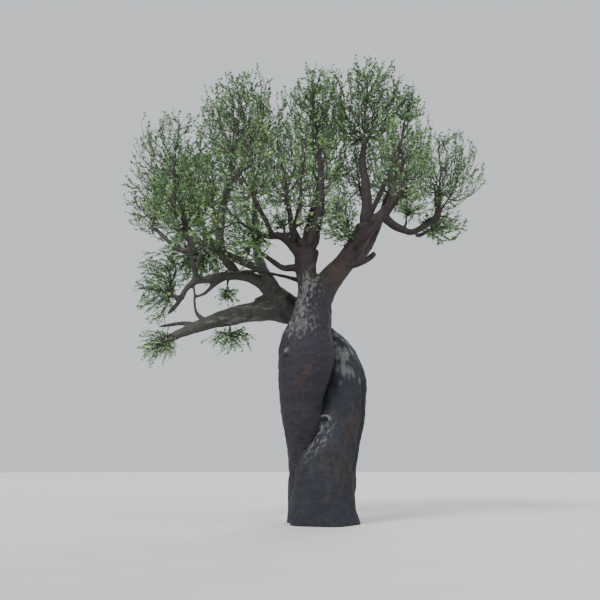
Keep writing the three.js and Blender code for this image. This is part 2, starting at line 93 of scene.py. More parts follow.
# Masses of foliage: the middle and the radii of the space that each keeps to, and its share of the usual
# number of twigs, less where the photograph shows it more open
MASSES = {
    "right_top": ((1.75, -0.2, 14.25), (1.55, 1.6, 1.85), 1.2),
    "right_upper": ((2.95, 0.5, 12.85), (1.3, 1.4, 1.75), 0.4),
    "right_tip": ((4.3, -0.4, 11.7), (1.4, 1.4, 1.5), 0.8),
    "right_low": ((4.4, 1.1, 10.2), (0.95, 0.8, 0.65), 1.0),
    "right_inner": ((1.3, 1.3, 12.25), (1.1, 1.3, 1.5), 0.45),
    "right_front": ((2.5, -2.6, 10.7), (1.0, 1.2, 1.25), 0.45),
    "right_high_front": ((2.6, -2.0, 11.8), (1.05, 1.2, 1.25), 0.45),
    "right_back": ((3.1, 2.4, 13.1), (1.6, 1.5, 1.9), 0.7),
    "middle_top": ((-0.15, -0.3, 14.0), (1.0, 1.5, 1.8), 1.1),
    "middle_inner": ((0.1, 1.2, 11.5), (1.2, 1.3, 1.7), 0.5),
    "middle_left": ((-1.4, 0.5, 12.1), (1.1, 1.3, 1.8), 0.7),
    "middle_front": ((-0.5, -3.0, 10.3), (1.1, 1.5, 1.9), 0.45),
    "middle_back": ((0.4, 2.45, 14.0), (1.8, 1.6, 2.2), 0.65),
    "left_dense": ((-2.85, -1.0, 9.0), (1.45, 1.15, 1.3), 1.2),
    "left_top": ((-2.75, 0.2, 14.15), (1.65, 1.5, 1.8), 0.85),
    "left_inner": ((-4.25, 1.6, 12.15), (1.3, 1.1, 1.8), 0.7),
    "left_upper": ((-5.2, -0.4, 12.4), (1.4, 1.4, 1.5), 0.65),
    "left_under": ((-4.45, 0.95, 8.95), (1.1, 0.9, 1.1), 2.0),
    "left_tip": ((-6.0, 0.4, 10.9), (1.1, 1.2, 1.45), 0.7),
    "left_front": ((-2.55, -3.1, 10.25), (1.15, 1.5, 1.9), 0.6),
    "left_high_front": ((-2.8, -2.0, 12.5), (1.35, 1.3, 1.5), 0.5),
    "left_far_front": ((-4.4, -2.4, 9.6), (1.05, 1.3, 1.55), 1.35),
    "left_back": ((-2.65, 2.5, 13.6), (1.6, 1.6, 2.2), 0.7),
    "left_far_back": ((-5.2, 2.35, 12.4), (1.4, 1.4, 1.85), 0.75),
    "left_hanging": ((-5.55, 0.1, 7.6), (0.8, 0.9, 1.3), 1.1),
    "left_low": ((-5.4, 0, 5.5), (0.7, 0.7, 0.65), 0.9),
    "low_spray": ((-3.05, 0.3, 5.8), (0.95, 0.6, 0.5), 0.7),
    # Tufts on slim side branches, too small for solids of their own
    "arch_tuft": ((-3.2, 0.3, 7.33), (0.5, 0.45, 0.42), 0.55),
    "fork_tuft": ((0.58, -0.5, 9.75), (0.8, 0.7, 0.95), 0.95),
    "dense_tuft": ((-1.35, -0.1, 9.95), (0.5, 0.5, 0.5), 0.7),
    "rise_tuft": ((3.05, 0.05, 10.6), (0.75, 0.6, 0.7), 0.7),
    "shoulder_tuft": ((3.15, -0.2, 14.3), (0.65, 0.7, 0.9), 0.9),
}
MASS_NAMES = list(MASSES)
MIDDLES = np.array([middle for middle, _, _ in MASSES.values()])
RADII = np.array([radii for _, radii, _ in MASSES.values()])

# Limbs, each after what carries it: where it starts, as a place inside a trunk or a share of the way along
# another limb, the places that it bends through, its radii from foot to tip and the mass that it feeds
LIMBS = [
    ("limb_right", (-0.2, -0.36, 6.8),
     [(0.12, -0.32, 7.5), (0.78, -0.3, 8.31), (1.2, -0.25, 8.95), (1.46, -0.2, 9.6)],
     [0.52, 0.42, 0.35, 0.32, 0.28], None),
    ("limb_middle", (-0.34, -0.36, 7.0),
     [(-0.48, -0.25, 7.7), (-0.54, -0.1, 8.3), (-0.48, 0, 8.8)], [0.42, 0.34, 0.36, 0.4], None),
    ("limb_left_low", (-0.9, 0.78, 6.8),
     [(-1.5, 0.8, 6.95), (-2.1, 0.75, 6.88), (-3.0, 0.55, 6.66), (-3.97, 0.2, 6.27), (-4.75, 0, 5.9)],
     [0.5, 0.4, 0.34, 0.33, 0.23, 0.18, 0.13], "left_low"),
    ("limb_left_arch", (-1.15, 0.8, 7.05),
     [(-1.6, 0.8, 7.5), (-2.0, 0.72, 7.85), (-2.6, 0.55, 8.08), (-3.3, 0.3, 8.04)],
     [0.45, 0.34, 0.22, 0.17, 0.15], None),
    ("bough_left_hanging", ("limb_left_arch", 1),
     [(-3.79, 0.15, 7.85), (-4.29, 0.1, 7.72), (-4.6, 0.1, 7.45), (-4.76, 0.1, 7.12)],
     [0.15, 0.12, 0.09, 0.08], "left_hanging"),
    ("bough_left_upper", ("limb_left_arch", 0.1),
     [(-1.88, 0.4, 8.09), (-2.79, 0.05, 8.48), (-3.3, -0.1, 8.67), (-3.96, -0.12, 8.84),
      (-4.47, -0.2, 9.13), (-4.99, -0.3, 9.75)], [0.17, 0.13, 0.12, 0.11, 0.1, 0.08], "left_upper"),
    ("bough_left_tip", ("bough_left_upper", 0.56),
     [(-4.83, 0, 8.84), (-5.37, 0, 9.28), (-5.85, 0.1, 9.75)], [0.09, 0.07, 0.05], "left_tip"),
    ("bough_left_top", ("limb_left_arch", 0.82),
     [(-3.4, 0.35, 8.8), (-3.55, 0.3, 9.6), (-3.4, 0.25, 10.8), (-3.19, 0.2, 11.56), (-2.9, 0.2, 11.92),
      (-2.5, 0.2, 12.3)], [0.17, 0.15, 0.13, 0.08], "left_top"),
    ("bough_left_inner", ("bough_left_top", 0.35), [(-3.75, 0.85, 10.1)], [0.09, 0.06], "left_inner"),
    ("bough_left_high_front", ("bough_left_top", 0.6),
     [(-3.2, -0.7, 10.9)], [0.08, 0.06], "left_high_front"),
    ("bough_left_far_front", ("bough_left_hanging", 0.45),
     [(-4.2, -0.8, 7.95)], [0.09, 0.06], "left_far_front"),
    ("bough_left_far_back", ("limb_left_arch", 0.9),
     [(-3.2, 1.6, 8.7), (-4.3, 2.5, 10.3)], [0.12, 0.07], "left_far_back"),
    ("bough_left_under", ("bough_left_upper", 0.5), [(-3.9, 0.15, 8.8)], [0.06, 0.05], "left_under"),
    ("bough_left_back", (-1.25, 0.85, 7.2),
     [(-1.85, 1.9, 8.2), (-2.4, 2.7, 9.8)], [0.26, 0.18, 0.1], "left_back"),
    ("bough_low_spray", ("limb_left_low", 0.5), [(-3.1, 0.38, 6.45)], [0.07, 0.045], "low_spray"),
    ("bough_left_dense", ("limb_middle", 0.72),
     [(-0.95, -0.1, 8.9), (-1.35, -0.2, 9.25)], [0.18, 0.15, 0.1], "left_dense"),
    ("bough_left_front", ("bough_left_dense", 0.9), [(-1.8, -1.3, 9.3)], [0.09, 0.06], "left_front"),
    ("bough_middle_front", ("bough_left_dense", 0.45), [(-0.95, -0.6, 9.3)], [0.09, 0.06], "middle_front"),
    ("bough_middle_left", ("limb_middle", 1), [(-0.95, 0.3, 9.6)], [0.15, 0.08], "middle_left"),
    ("bough_middle_top", ("limb_middle", 1),
     [(-0.1, -0.15, 9.9), (0, -0.3, 11.2)], [0.17, 0.08], "middle_top"),
    ("bough_middle_inner", ("limb_middle", 1), [(-0.15, 0.65, 9.4)], [0.13, 0.07], "middle_inner"),
    ("bough_middle_back", ("limb_middle", 0.93),
     [(-0.5, 1.2, 9.6), (-0.35, 2.2, 10.8)], [0.2, 0.1], "middle_back"),
    ("bough_right_top", ("limb_right", 1),
     [(1.57, -0.22, 10.4), (1.55, -0.2, 11.3), (1.47, -0.2, 12.1)], [0.21, 0.17, 0.13, 0.1], "right_top"),
    ("bough_right_upper", ("limb_right", 0.98),
     [(2.12, 0, 10.13), (2.48, 0, 10.58), (2.93, 0, 11.08)], [0.27, 0.19, 0.13, 0.1], "right_upper"),
    ("bough_right_tip", ("bough_right_upper", 0.35),
     [(2.72, 0.2, 9.72), (3.17, 0.2, 9.58), (3.63, 0.15, 9.8), (4.05, 0.1, 10.0)],
     [0.16, 0.12, 0.09, 0.07], "right_tip"),
    ("bough_right_low", ("bough_right_tip", 0.5), [(3.45, 0.6, 9.6)], [0.06, 0.045], "right_low"),
    ("bough_right_inner", ("bough_right_top", 0.3), [(1.6, 0.4, 10.7)], [0.09, 0.06], "right_inner"),
    ("bough_right_high_front", ("limb_right", 0.95), [(1.8, -0.8, 10.2)], [0.1, 0.07], "right_high_front"),
    ("bough_right_stub", ("limb_right", 0.5),
     [(1.2, -0.5, 8.18), (1.5, -0.65, 8.28), (1.74, -0.75, 8.47)], [0.12, 0.11, 0.09, 0.07], None),
    ("bough_right_front", ("limb_right", 0.7),
     [(1.3, -1.1, 8.75), (1.85, -1.75, 9.25)], [0.13, 0.09, 0.07], "right_front"),
    ("bough_right_back", ("limb_right", 0.55),
     [(1.3, 0.5, 8.7), (2.1, 1.85, 10.2)], [0.19, 0.1], "right_back"),
    ("branch_tuft", ("limb_left_arch", 0.93), [(-3.2, 0.3, 7.85)], [0.05, 0.025], "arch_tuft"),
    ("branch_fork", ("limb_right", 0.68), [(0.92, -0.45, 9.1)], [0.07, 0.04], "fork_tuft"),
    ("branch_dense", ("bough_left_dense", 0.8), [(-1.25, -0.15, 9.4)], [0.05, 0.035], "dense_tuft"),
    ("branch_rise", ("bough_right_tip", 0.32), [(2.95, 0.15, 9.8)], [0.05, 0.035], "rise_tuft"),
    ("branch_shoulder", ("bough_right_upper", 0.92),
     [(2.7, -0.3, 11.9), (2.85, -0.4, 12.8)], [0.06, 0.045, 0.035], "shoulder_tuft"),
]
ENTRY_SHARE = 0.86  # boughs end this far out in the mass they enter

# Smaller limbs that bear no mass: the web of bark in the rear trunk's fork, and side branches
SIDE_BRANCHES = [
    ("branch_web", (-1.05, 0.8, 7.0),
     [(-1.5, 0.8, 7.22), (-1.9, 0.75, 7.32), (-2.3, 0.7, 7.25)], [0.42, 0.3, 0.18, 0.04], None),
    ("branch_loop", ("limb_middle", 0.5),
     [(-0.83, -0.2, 8.13), (-1.3, -0.3, 8.1), (-1.6, -0.35, 8.29), (-2.02, -0.4, 8.59)],
     [0.15, 0.13, 0.1, 0.08, 0.05], None),
    ("branch_pale", ("limb_middle", 0.3),
     [(-1.07, 0.3, 7.94), (-2.02, 0, 8.05), (-2.82, -0.1, 8.06), (-3.42, -0.1, 7.99)],
     [0.09, 0.06, 0.045, 0.035, 0.02], None),
    ("branch_arc", ("bough_left_dense", 0.75),
     [(-1.09, -0.15, 9.37), (-0.87, -0.1, 9.68), (-0.63, -0.1, 9.81), (-0.25, -0.1, 10.14)],
     [0.07, 0.055, 0.045, 0.035, 0.02], None),
    ("branch_riser", ("limb_left_low", 0.7),
     [(-4.15, 0.2, 6.6), (-4.26, 0.15, 6.87), (-4.29, 0.1, 7.34), (-4.33, 0.1, 7.7)],
     [0.07, 0.055, 0.045, 0.04], None),
    ("branch_reddish", ("bough_left_upper", 0.56),
     [(-4.14, 0, 8.56), (-4.24, 0.1, 8.23), (-4.36, 0.1, 7.75)], [0.08, 0.06, 0.05], None),
    ("branch_low_side", ("limb_left_low", 0.78),
     [(-4.6, 0.15, 6.3), (-5.44, 0.15, 6.19)], [0.09, 0.05, 0.03], None),
    ("branch_hanging", ("bough_left_hanging", 0.85),
     [(-4.87, 0.1, 6.93), (-5.14, 0.1, 6.62)], [0.08, 0.06, 0.03], None),
    ("branch_drop", ("limb_left_arch", 0.93),
     [(-3.45, 0.3, 7.88), (-3.72, 0.22, 7.62), (-3.93, 0.17, 7.36), (-4.22, 0.12, 7.22)],
     [0.11, 0.09, 0.075, 0.06, 0.045], None),
    ("branch_upright", ("bough_right_tip", 0.68),
     [(3.96, 0, 10.1), (3.99, -0.1, 10.65), (3.96, -0.2, 11.25)], [0.06, 0.045, 0.035, 0.02], None),
    ("branch_fanned", ("bough_right_tip", 0.8),
     [(4.3, 0.1, 10.5), (4.61, 0, 10.97), (4.86, 0, 11.62)], [0.05, 0.04, 0.03, 0.018], None),
    ("branch_level", ("bough_right_tip", 0.55),
     [(3.77, 0.3, 10.07), (4.28, 0.3, 10.22), (4.79, 0.3, 10.07)], [0.05, 0.04, 0.03, 0.015], None),
]

# Root flare and the shallow folds that wind up the trunks
FLARE_LOBES = 5
FLARE_SHARE = 0.06
FLARE_HEIGHT = 0.45
FOLD_COUNT = 9
FOLD_SHARE = 0.012
FOLD_TWIST = 0.55  # radians that they turn for each metre of height

# Skin of trunks and limbs
TRUNK_SIDES = 72
TRUNK_RINGS = 12  # between two measured heights
LIMB_SIDES = 16
LIMB_RING_SPACING = 0.12
LIMB_STEPS = 24  # places on a limb's line between two of its bends
BARK_VOXEL = 0.034
BARK_SMOOTHING = 4
THIN_LIMB_GAIN = 0.012  # added to each radius, which the smoothing takes off again
FOOT_ROUNDING = 0.5  # how much slimmer a limb starts, so that its foot lies inside what carries it
FOOT_LENGTH = 0.1
SAMPLE_SPACING = 0.05  # between the places on a limb's line that its skin is measured from
SKIN_SHIFT = 3.7  # metres from one limb's marks to the next one's, so that no two limbs are marked alike

# Relief of the bark: how many marks lie in a metre across a limb and in one along it, and how deep they
# are in metres, on the slimmest limb and for each metre of a limb's radius
SWELLINGS = (1.3, 1.3), (0.02, 0.03)
LUMPS = (4.0, 4.0), (0.016, 0.015)
CREASES = (1.7, 7.0), (0.0011, 0.011)
FINE_WRINKLES = (6.0, 16.0), (0.00075, 0.005)
CREASE_NARROWNESS = 2.4
CREASE_SHADE = 0.3  # how dark a crease is painted, as painted shade, against the darkest hollows
THICKEST_GIRTH = 0.8  # relief grows no deeper on a radius beyond this
SUNLIT_LIMB_GIRTH = 0.56  # below this radius a stem's bark turns to the lighter tone of its limbs, painted sunlight against the trunk's painted shade,
SUNLIT_LIMB_TURN = 0.2  # over this much less of radius

# Scars of lost twigs: height on the trunk, turn round it, size and how far each stands out
FRONT_KNOBS = [
    (5.02, -42, 0.2, 0.1), (4.95, -66, 0.07, 0.03), (4.55, -50, 0.07, 0.015), (6.35, 60, 0.08, 0.02),
    (4.9, 150, 0.12, 0.04), (2.9, -110, 0.1, 0.03),
]
REAR_KNOBS = [(2.1, 125, 0.12, 0.04), (4.4, 100, 0.11, 0.04), (1.6, 170, 0.14, 0.05), (3.9, 200, 0.1, 0.03)]

# Where a knob's dimple, darkened with painted shade, and its lip, pale with a painted highlight, lie above
# its middle and how large they are, against its size
DIMPLE = -0.25, 0.42
LIP = 0.6, 0.4

# Hooded scar and the scaly patch below it, in metres, with the plates that stand in a metre on each axis
SCAR_DEPTH = 0.06
SCAR_LIP = 0.3  # how broad, against the scar's size
PLATES = 13, 6, 7
PLATE_LEAN = 0.5
PLATE_HEIGHT = 0.03
CRACK_DEPTH = 0.02

# Rust-red patches and pale patches of painted sunlight: height on the trunk, turn round it, width, height of
# the patch, kind, "rust" for the red ones and "pale" for painted sunlight, strength and how many streaks lie
# in a metre on each axis
CLOUDY, STREAKY, FLECKED, LEVEL = (7.0, 7.0, 2.2), (13, 13, 5), (10, 10, 5), (2.5, 8, 8)
FRONT_STAINS_AND_SUNLIT_PATCHES = [
    (6.75, -42, 0.31, 0.8, "pale", 0.75, STREAKY), (7.35, -30, 0.26, 0.4, "pale", 0.8, STREAKY),
    (6.0, -26, 0.5, 0.35, "pale", 0.35, (12, 12, 7)), (4.42, 8, 0.22, 0.32, "rust", 0.36, FLECKED),
    (4.1, -3, 0.24, 0.3, "rust", 0.22, FLECKED), (5.0, 160, 0.4, 0.6, "rust", 0.35, CLOUDY),
]
REAR_STAINS_AND_SUNLIT_PATCHES = [
    (5.2, 10, 0.4, 0.65, "pale", 0.55, CLOUDY), (4.65, 12, 0.42, 0.3, "pale", 0.45, CLOUDY),
    (1.6, 20, 0.6, 0.7, "rust", 0.4, CLOUDY), (2.9, 36, 0.35, 0.6, "rust", 0.4, CLOUDY),
]
PATCH_RAGGEDNESS = 1.7
PATCH_REACH = 1.9  # where the last of its spots end, against its size
GROOVE_STEPS = 16  # places on a groove's line between two of its bends

# Where twigs end. A share out is 0 in the middle of a mass and 1 on its skin.
TWIGS_PER_SQUARE_METRE = 215  # of a mass's mean radius, squared
FEWEST_TWIGS = 45
SPACE_REACH = 1.3  # the furthest share out that a mass's twigs may go
LIMB_REACH = 1.5  # the furthest share out of the limbs that they keep clear of
LIMB_SAMPLES = 21  # places on each limb that are measured for this
BOX_REACH = 0.08  # metres that they may go past the box of the solids
BUMP_SHARE = 0.2  # how far the crown's bumps and hollows lie from its smooth shape
BUMP_SCALE = 2.4  # more makes them smaller
LANE_REACH = 1.25  # how much further the ends lie where a neighbour is close, so that the crown closes
LANE_GAP = 1.22  # a neighbour is close where a point is no further out in it than this
SIGHT_GAP = 0.2  # metres beside a bough, as the camera sees it, where few twigs end in front of it
SIGHT_DEPTH = 0.15  # metres before it, from which they count as in front
SIGHT_SHARE = 0.3  # of the twigs that end there all the same
FRONT_WOOD = 1.0  # boughs with a larger y are left hidden
INNER_SHARE = 0.02  # to the power of the next value, how far out the innermost end is
GATHERING = 0.45  # a third would spread the ends evenly, and more gathers them towards the middle
RAGGED = 0.06  # metres that twig ends are scattered by
PULLS = (1.0, 0.86, 0.7)  # how far out an end is tried, as shares of its first place

# How twigs grow
STEM_SHARE = 1.45  # a stem's length against its mass's mean radius
STEM_END = 0.88  # the furthest share out that it goes
STEM_RISE = 0.08  # how much it turns up at each step,
STEM_CROOK = 0.06  # and how much to any side
STEM_BARE_SHARE = 0.12
TWIG_STEP = 0.19
TWIG_STEPS = 2, 12  # the fewest and the most in a twig
PLACES_PER_TWIG = 20  # room that is kept for them
SHORTEST_TWIG = 0.38
PATH_WEIGHT = 0.55  # what a long way back to the bough costs
LEVEL_COST = 0.1  # for each twig between a twig and its mass's stem
TURN_COST = 0.75  # what a twig that leaves its carrier backwards costs, against one straight on
CLIMB_COST = 0.8  # what a twig that grows down costs, against one that grows up
# How strongly twigs grow up, in the masses that hang. It is 1 in all others.
RISE = {"left_hanging": -1.0, "left_under": -0.3, "low_spray": -0.5, "left_low": -0.4, "arch_tuft": -0.6}
FOOT_PULL = 0.6  # how strongly a twig leaves along what carries it
END_RISE = 0.6  # how strongly its end turns up
BEND_SHARE = 0.36  # of its length, over which it bends at either end
TWIG_CROOK = 0.05
MOST_CROOKED = 0.8  # the length from which a twig is no more crooked
MOST_LEVELS = 9  # of twigs on twigs. Places with this level bear none.
SPACE_MARGIN = 0.01  # how much nearer its own mass than any other a twig stays
LIMB_CLEARANCE = 0.015
FINE_TWIG = 0.0085  # radius of a twig that carries no other
FINEST_TWIG = 0.006  # the least radius of all
STOUT_TWIG = 0.02  # from this radius a twig has five sides in place of three
TWIG_TIP = 0.6  # of the least radius, at a twig's very end

# Leaves
SPRAY_LENGTH = 0.28  # of a twig's end, which bears them
BARE_FOOT = 0.04  # of a twig, even of a short one
LEAF_SPACING = 0.075
FEWEST_LEAVES = 3
PETIOLE_SCATTER = 0.4  # radians round the twig
PETIOLE_LEAN = 60, 16  # degrees from the twig's direction, the mean and the spread
BLADE_TILT = 0.35
LEAFLET_LENGTH = 0.084
LEAFLET_LENGTHS = 0.75, 1.25  # the least and the most from leaf to leaf
LEAFLET_WIDTH = 0.4  # against its length
LEAFLET_TURNS = np.radians([-84, -42, 0, 42, 84])
LEAFLET_SHARES = np.array([0.7, 0.9, 1.0, 0.9, 0.7])
BELLY_PLACE = 0.58  # the share of its length where a leaflet is broadest
BELLY_RISE = 0.03  # against its length too
TIP_DROOP = 0.16
GOLDEN_TURN = math.pi * (3 - math.sqrt(5))

# Pieces of the crown: each group of masses makes one piece of twigs and one of leaves
PIECE_GROUPS = {
    "right_outer": ["right_top", "right_upper", "right_tip", "right_low", "right_front",
                    "rise_tuft", "shoulder_tuft"],
    "right_inner": ["right_inner", "right_back", "right_high_front", "middle_top", "middle_inner",
                    "fork_tuft"],
    "middle": ["middle_left", "middle_front", "middle_back", "left_dense", "dense_tuft"],
    "left_high": ["left_top", "left_inner", "left_upper", "left_back"],
    "left_front": ["left_high_front", "left_front", "left_far_front", "left_tip", "left_under"],
    "left_low": ["left_far_back", "left_hanging", "left_low", "low_spray", "arch_tuft"],
}


def smooth_line(points, steps, power):
    """Points along a smooth curve through the given ones: power 0 spaces it evenly, 0.5 is centripetal."""
    given = np.array(points, float)
    ends = np.vstack([2 * given[0] - given[1], given, 2 * given[-1] - given[-2]])
    line = [given[:1]]
    for i in range(len(given) - 1):
        before, start, end, after = ends[i:i + 4]
        spans = [np.linalg.norm(b - a) ** power for a, b in ((before, start), (start, end), (end, after))]
        first, span, last = spans
        leave = ((start - before) / first - (end - before) / (first + span) + (end - start) / span) * span
        arrive = ((end - start) / span - (after - start) / (span + last) + (after - end) / last) * span
        t = np.linspace(0, 1, steps + 1)[1:, None]
        line.append(start + leave * t + (3 * (end - start) - 2 * leave - arrive) * t ** 2
                    + (2 * (start - end) + leave + arrive) * t ** 3)
    return np.vstack(line)


def unit(vectors):
    return vectors / np.maximum(np.linalg.norm(vectors, axis=-1, keepdims=True), 1e-9)


class Route:
    """A limb's middle line, with places by the share of its length."""

    def __init__(self, name, points, radii, mass, stem):
        self.name, self.mass, self.stem, self.radii = name, mass, stem, radii
        self.line = smooth_line(points, LIMB_STEPS, 0.5)
        steps = np.linalg.norm(np.diff(self.line, axis=0), axis=1)
        self.lengths = np.concatenate([[0], np.cumsum(steps)])

    def at(self, shares):
        wanted = np.asarray(shares) * self.lengths[-1]
        return np.stack([np.interp(wanted, self.lengths, self.line[:, axis]) for axis in range(3)], axis=-1)

    def radius(self, shares):
        return np.interp(shares, np.linspace(0, 1, len(self.radii)), self.radii)

    def tip_direction(self):
        return unit(self.line[-1] - self.line[-2])


def lay_out_limbs(rows, routes):
    """The routes of limbs. The trunks' limbs are told apart by their feet: those of the front trunk lie in
    front of y = 0 and those of the rear trunk behind it."""
    for name, start, bends, radii, mass in rows:
        carrier = routes.get(start[0])
        points = [carrier.at(start[1]) if carrier else start, *bends]
        if mass:
            middle, spread = (np.array(value) for value in MASSES[mass][:2])
            outside = np.array(points[-1]) - middle
            points.append(middle + outside * ENTRY_SHARE / np.linalg.norm(outside / spread))
        stem = carrier.stem if carrier else ("front" if start[1] < 0 else "rear")
        routes[name] = Route(name, points, radii, mass, stem)
    return routes


def new_object(name, data):
    made = bpy.data.objects.new(name, data)
    bpy.context.scene.collection.objects.link(made)
    return made


def mesh_of(name, points, faces, material_index=None):
    """An object from arrays of points and of faces that all have as many corners."""
    mesh = bpy.data.meshes.new(name)
    corners = faces.shape[1]
    mesh.vertices.add(len(points))
    mesh.vertices.foreach_set("co", points.astype(np.float32).ravel())
    mesh.loops.add(faces.size)
    mesh.loops.foreach_set("vertex_index", faces.astype(np.int32).ravel())
    mesh.polygons.add(len(faces))
    mesh.polygons.foreach_set("loop_start", np.arange(0, faces.size, corners, dtype=np.int32))
    if material_index is not None:
        mesh.polygons.foreach_set("material_index", material_index.astype(np.int32))
    mesh.update(calc_edges=True)
    return new_object(name, mesh)


def ring_faces(rings, sides, offset):
    """The triangles between neighbouring rings of points, and over both ends."""
    ring, side = np.meshgrid(np.arange(rings - 1), np.arange(sides), indexing="ij")
    low = ring * sides + side
    low_next = ring * sides + (side + 1) % sides
    walls = np.concatenate([
        np.stack([low, low_next, low_next + sides], axis=-1).reshape(-1, 3),
        np.stack([low, low_next + sides, low + sides], axis=-1).reshape(-1, 3)])
    fan = np.arange(1, sides - 1)
    foot = np.stack([np.zeros_like(fan), fan + 1, fan], axis=-1)
    top = np.stack([np.zeros_like(fan), fan, fan + 1], axis=-1) + (rings - 1) * sides
    return np.concatenate([walls, foot, top]) + offset


def tube(line, radii, sides):
    """Rings of points around a line, which turn with it as little as they can. The first one may face any
    way that isn't along the line."""
    along = unit(np.gradient(line, axis=0))
    across = np.cross(along[0], [0.31, 0.95, 0.05] if abs(along[0][0]) > 0.7 else [1.0, 0, 0.1])
    turns = np.arange(sides) * 2 * math.pi / sides
    rings = []
    for spot, direction, radius in zip(line, along, radii):
        across = unit(across - direction * np.dot(across, direction))
        other = np.cross(direction, across)
        rings.append(spot + radius * (np.cos(turns)[:, None] * across + np.sin(turns)[:, None] * other))
    return np.concatenate(rings)


def trunk_line(stations):
    """Middles and half widths, close together, from the ground to the head."""
    measured = np.array(stations, float)
    middles = smooth_line(measured[:, [1, 2, 0]], TRUNK_RINGS, 0)
    widths = smooth_line(np.stack([measured[:, 3]] * 3, axis=1), TRUNK_RINGS, 0)[:, 0]
    return middles, widths


def trunk_rings(stations):
    """Level rings with the root flare and the shallow folds that wind up the trunk. They start just under
    the ground, where the flat cut is made afterwards."""
    middles, widths = trunk_line(stations)
    turns = np.arange(TRUNK_SIDES) * 2 * math.pi / TRUNK_SIDES
    rings = []
    for middle, width in zip(middles, widths):
        flare = FLARE_SHARE * math.exp(-middle[2] / FLARE_HEIGHT) * (1 + np.cos(FLARE_LOBES * turns))
        fold = FOLD_SHARE * np.cos(FOLD_COUNT * turns + FOLD_TWIST * middle[2] * FOLD_COUNT)
        radius = width * (1 + flare + fold)
        rings.append(np.stack([middle[0] + np.cos(turns) * radius, middle[1] + np.sin(turns) * radius,
                               np.full(TRUNK_SIDES, middle[2])], axis=1))
    rings[0][:, 2] -= 2 * BARK_VOXEL
    return np.concatenate(rings), len(rings)


def stem_mesh(name, stations, routes):
    """A trunk and the limbs that it carries, joined into one skin and smoothed at their forks."""
    points, count = trunk_rings(stations)
    faces = [ring_faces(count, TRUNK_SIDES, 0)]
    parts = [points]
    total = len(points)
    for route in routes:
        rings = max(4, math.ceil(route.lengths[-1] / LIMB_RING_SPACING))
        shares = np.linspace(0, 1, rings)
        foot = 1 - FOOT_ROUNDING * np.exp(-shares * route.lengths[-1] / FOOT_LENGTH)
        parts.append(tube(route.at(shares), route.radius(shares) * foot + THIN_LIMB_GAIN, LIMB_SIDES))
        faces.append(ring_faces(rings, LIMB_SIDES, total))
        total += len(parts[-1])
    rough = mesh_of(name + "_rough", np.concatenate(parts), np.concatenate(faces))
    remesh = rough.modifiers.new("skin", "REMESH")
    remesh.mode = "VOXEL"
    remesh.voxel_size = BARK_VOXEL
    smooth = rough.modifiers.new("forks", "SMOOTH")
    smooth.iterations = BARK_SMOOTHING
    evaluated = rough.evaluated_get(bpy.context.evaluated_depsgraph_get())
    mesh = bpy.data.meshes.new_from_object(evaluated)
    mesh.name = name
    bpy.data.objects.remove(rough)
    return new_object(name, mesh)


def axis_samples(stations, routes):
    """Places along a trunk and its limbs: the place, how far along, the radius and the way on from there."""
    middles, widths = trunk_line(stations)
    samples = [np.column_stack([middles, middles[:, 2], widths, unit(np.gradient(middles, axis=0))])]
    for i, route in enumerate(routes):
        shares = np.linspace(0, 1, max(6, math.ceil(route.lengths[-1] / SAMPLE_SPACING)))
        line = route.at(shares)
        samples.append(np.column_stack([line, shares * route.lengths[-1] + SKIN_SHIFT * (i + 1),
                                        route.radius(shares), unit(np.gradient(line, axis=0))]))
    return np.concatenate(samples)


def on_trunk(stations, height, turn):
    """The place on a trunk's side at that height, and which way is out there. A turn of 0 degrees faces
    the front, and a positive one goes to the right."""
    middles, widths = trunk_line(stations)
    middle = np.array([np.interp(height, middles[:, 2], middles[:, axis]) for axis in range(3)])
    width = np.interp(height, middles[:, 2], widths)
    angle = math.radians(turn)
    out = np.array([math.sin(angle), -math.cos(angle), 0])
    return middle + out * width, out


def skin_places(points, samples):
    """Where points lie on the skin: their offset from the nearest middle line, along two ways across it,
    and how far along it they are. Also how thick the limb is there."""
    tree = kdtree.KDTree(len(samples))
    for i, sample in enumerate(samples):
        tree.insert(sample[:3], i)
    tree.balance()
    nearest = samples[np.array([tree.find(point)[1] for point in points])]
    out, way = points - nearest[:, :3], nearest[:, 5:8]
    ahead = (out * way).sum(axis=1)
    one = unit(np.cross(way, np.array([0.1, 1.0, 0.15])))
    two = np.cross(way, one)
    skin = np.column_stack([(out * one).sum(axis=1), (out * two).sum(axis=1), nearest[:, 3] + ahead])
    return skin, np.minimum(nearest[:, 4], THICKEST_GIRTH)


def relief(points, kind, girth, narrowness=None):
    """Soft noise at points, and how far it moves them. A narrowness turns it to narrow creases."""
    (across, along), (least, more) = kind
    soft = np.array([noise.noise(Vector(point)) for point in points * np.array([across, across, along])])
    if narrowness:
        soft = np.maximum(1 - np.abs(soft) * narrowness, 0) ** 3
    return soft, soft * (least + more * girth)


def read_vectors(mesh, field):
    values = np.empty(len(mesh.vertices) * 3, np.float32)
    mesh.vertices.foreach_get(field, values)
    return values.reshape(-1, 3).astype(float)


def write_attribute(mesh, name, kind, field, values):
    attribute = mesh.attributes.new(name, kind, "POINT")
    attribute.data.foreach_set(field, values.astype(np.float32).ravel())


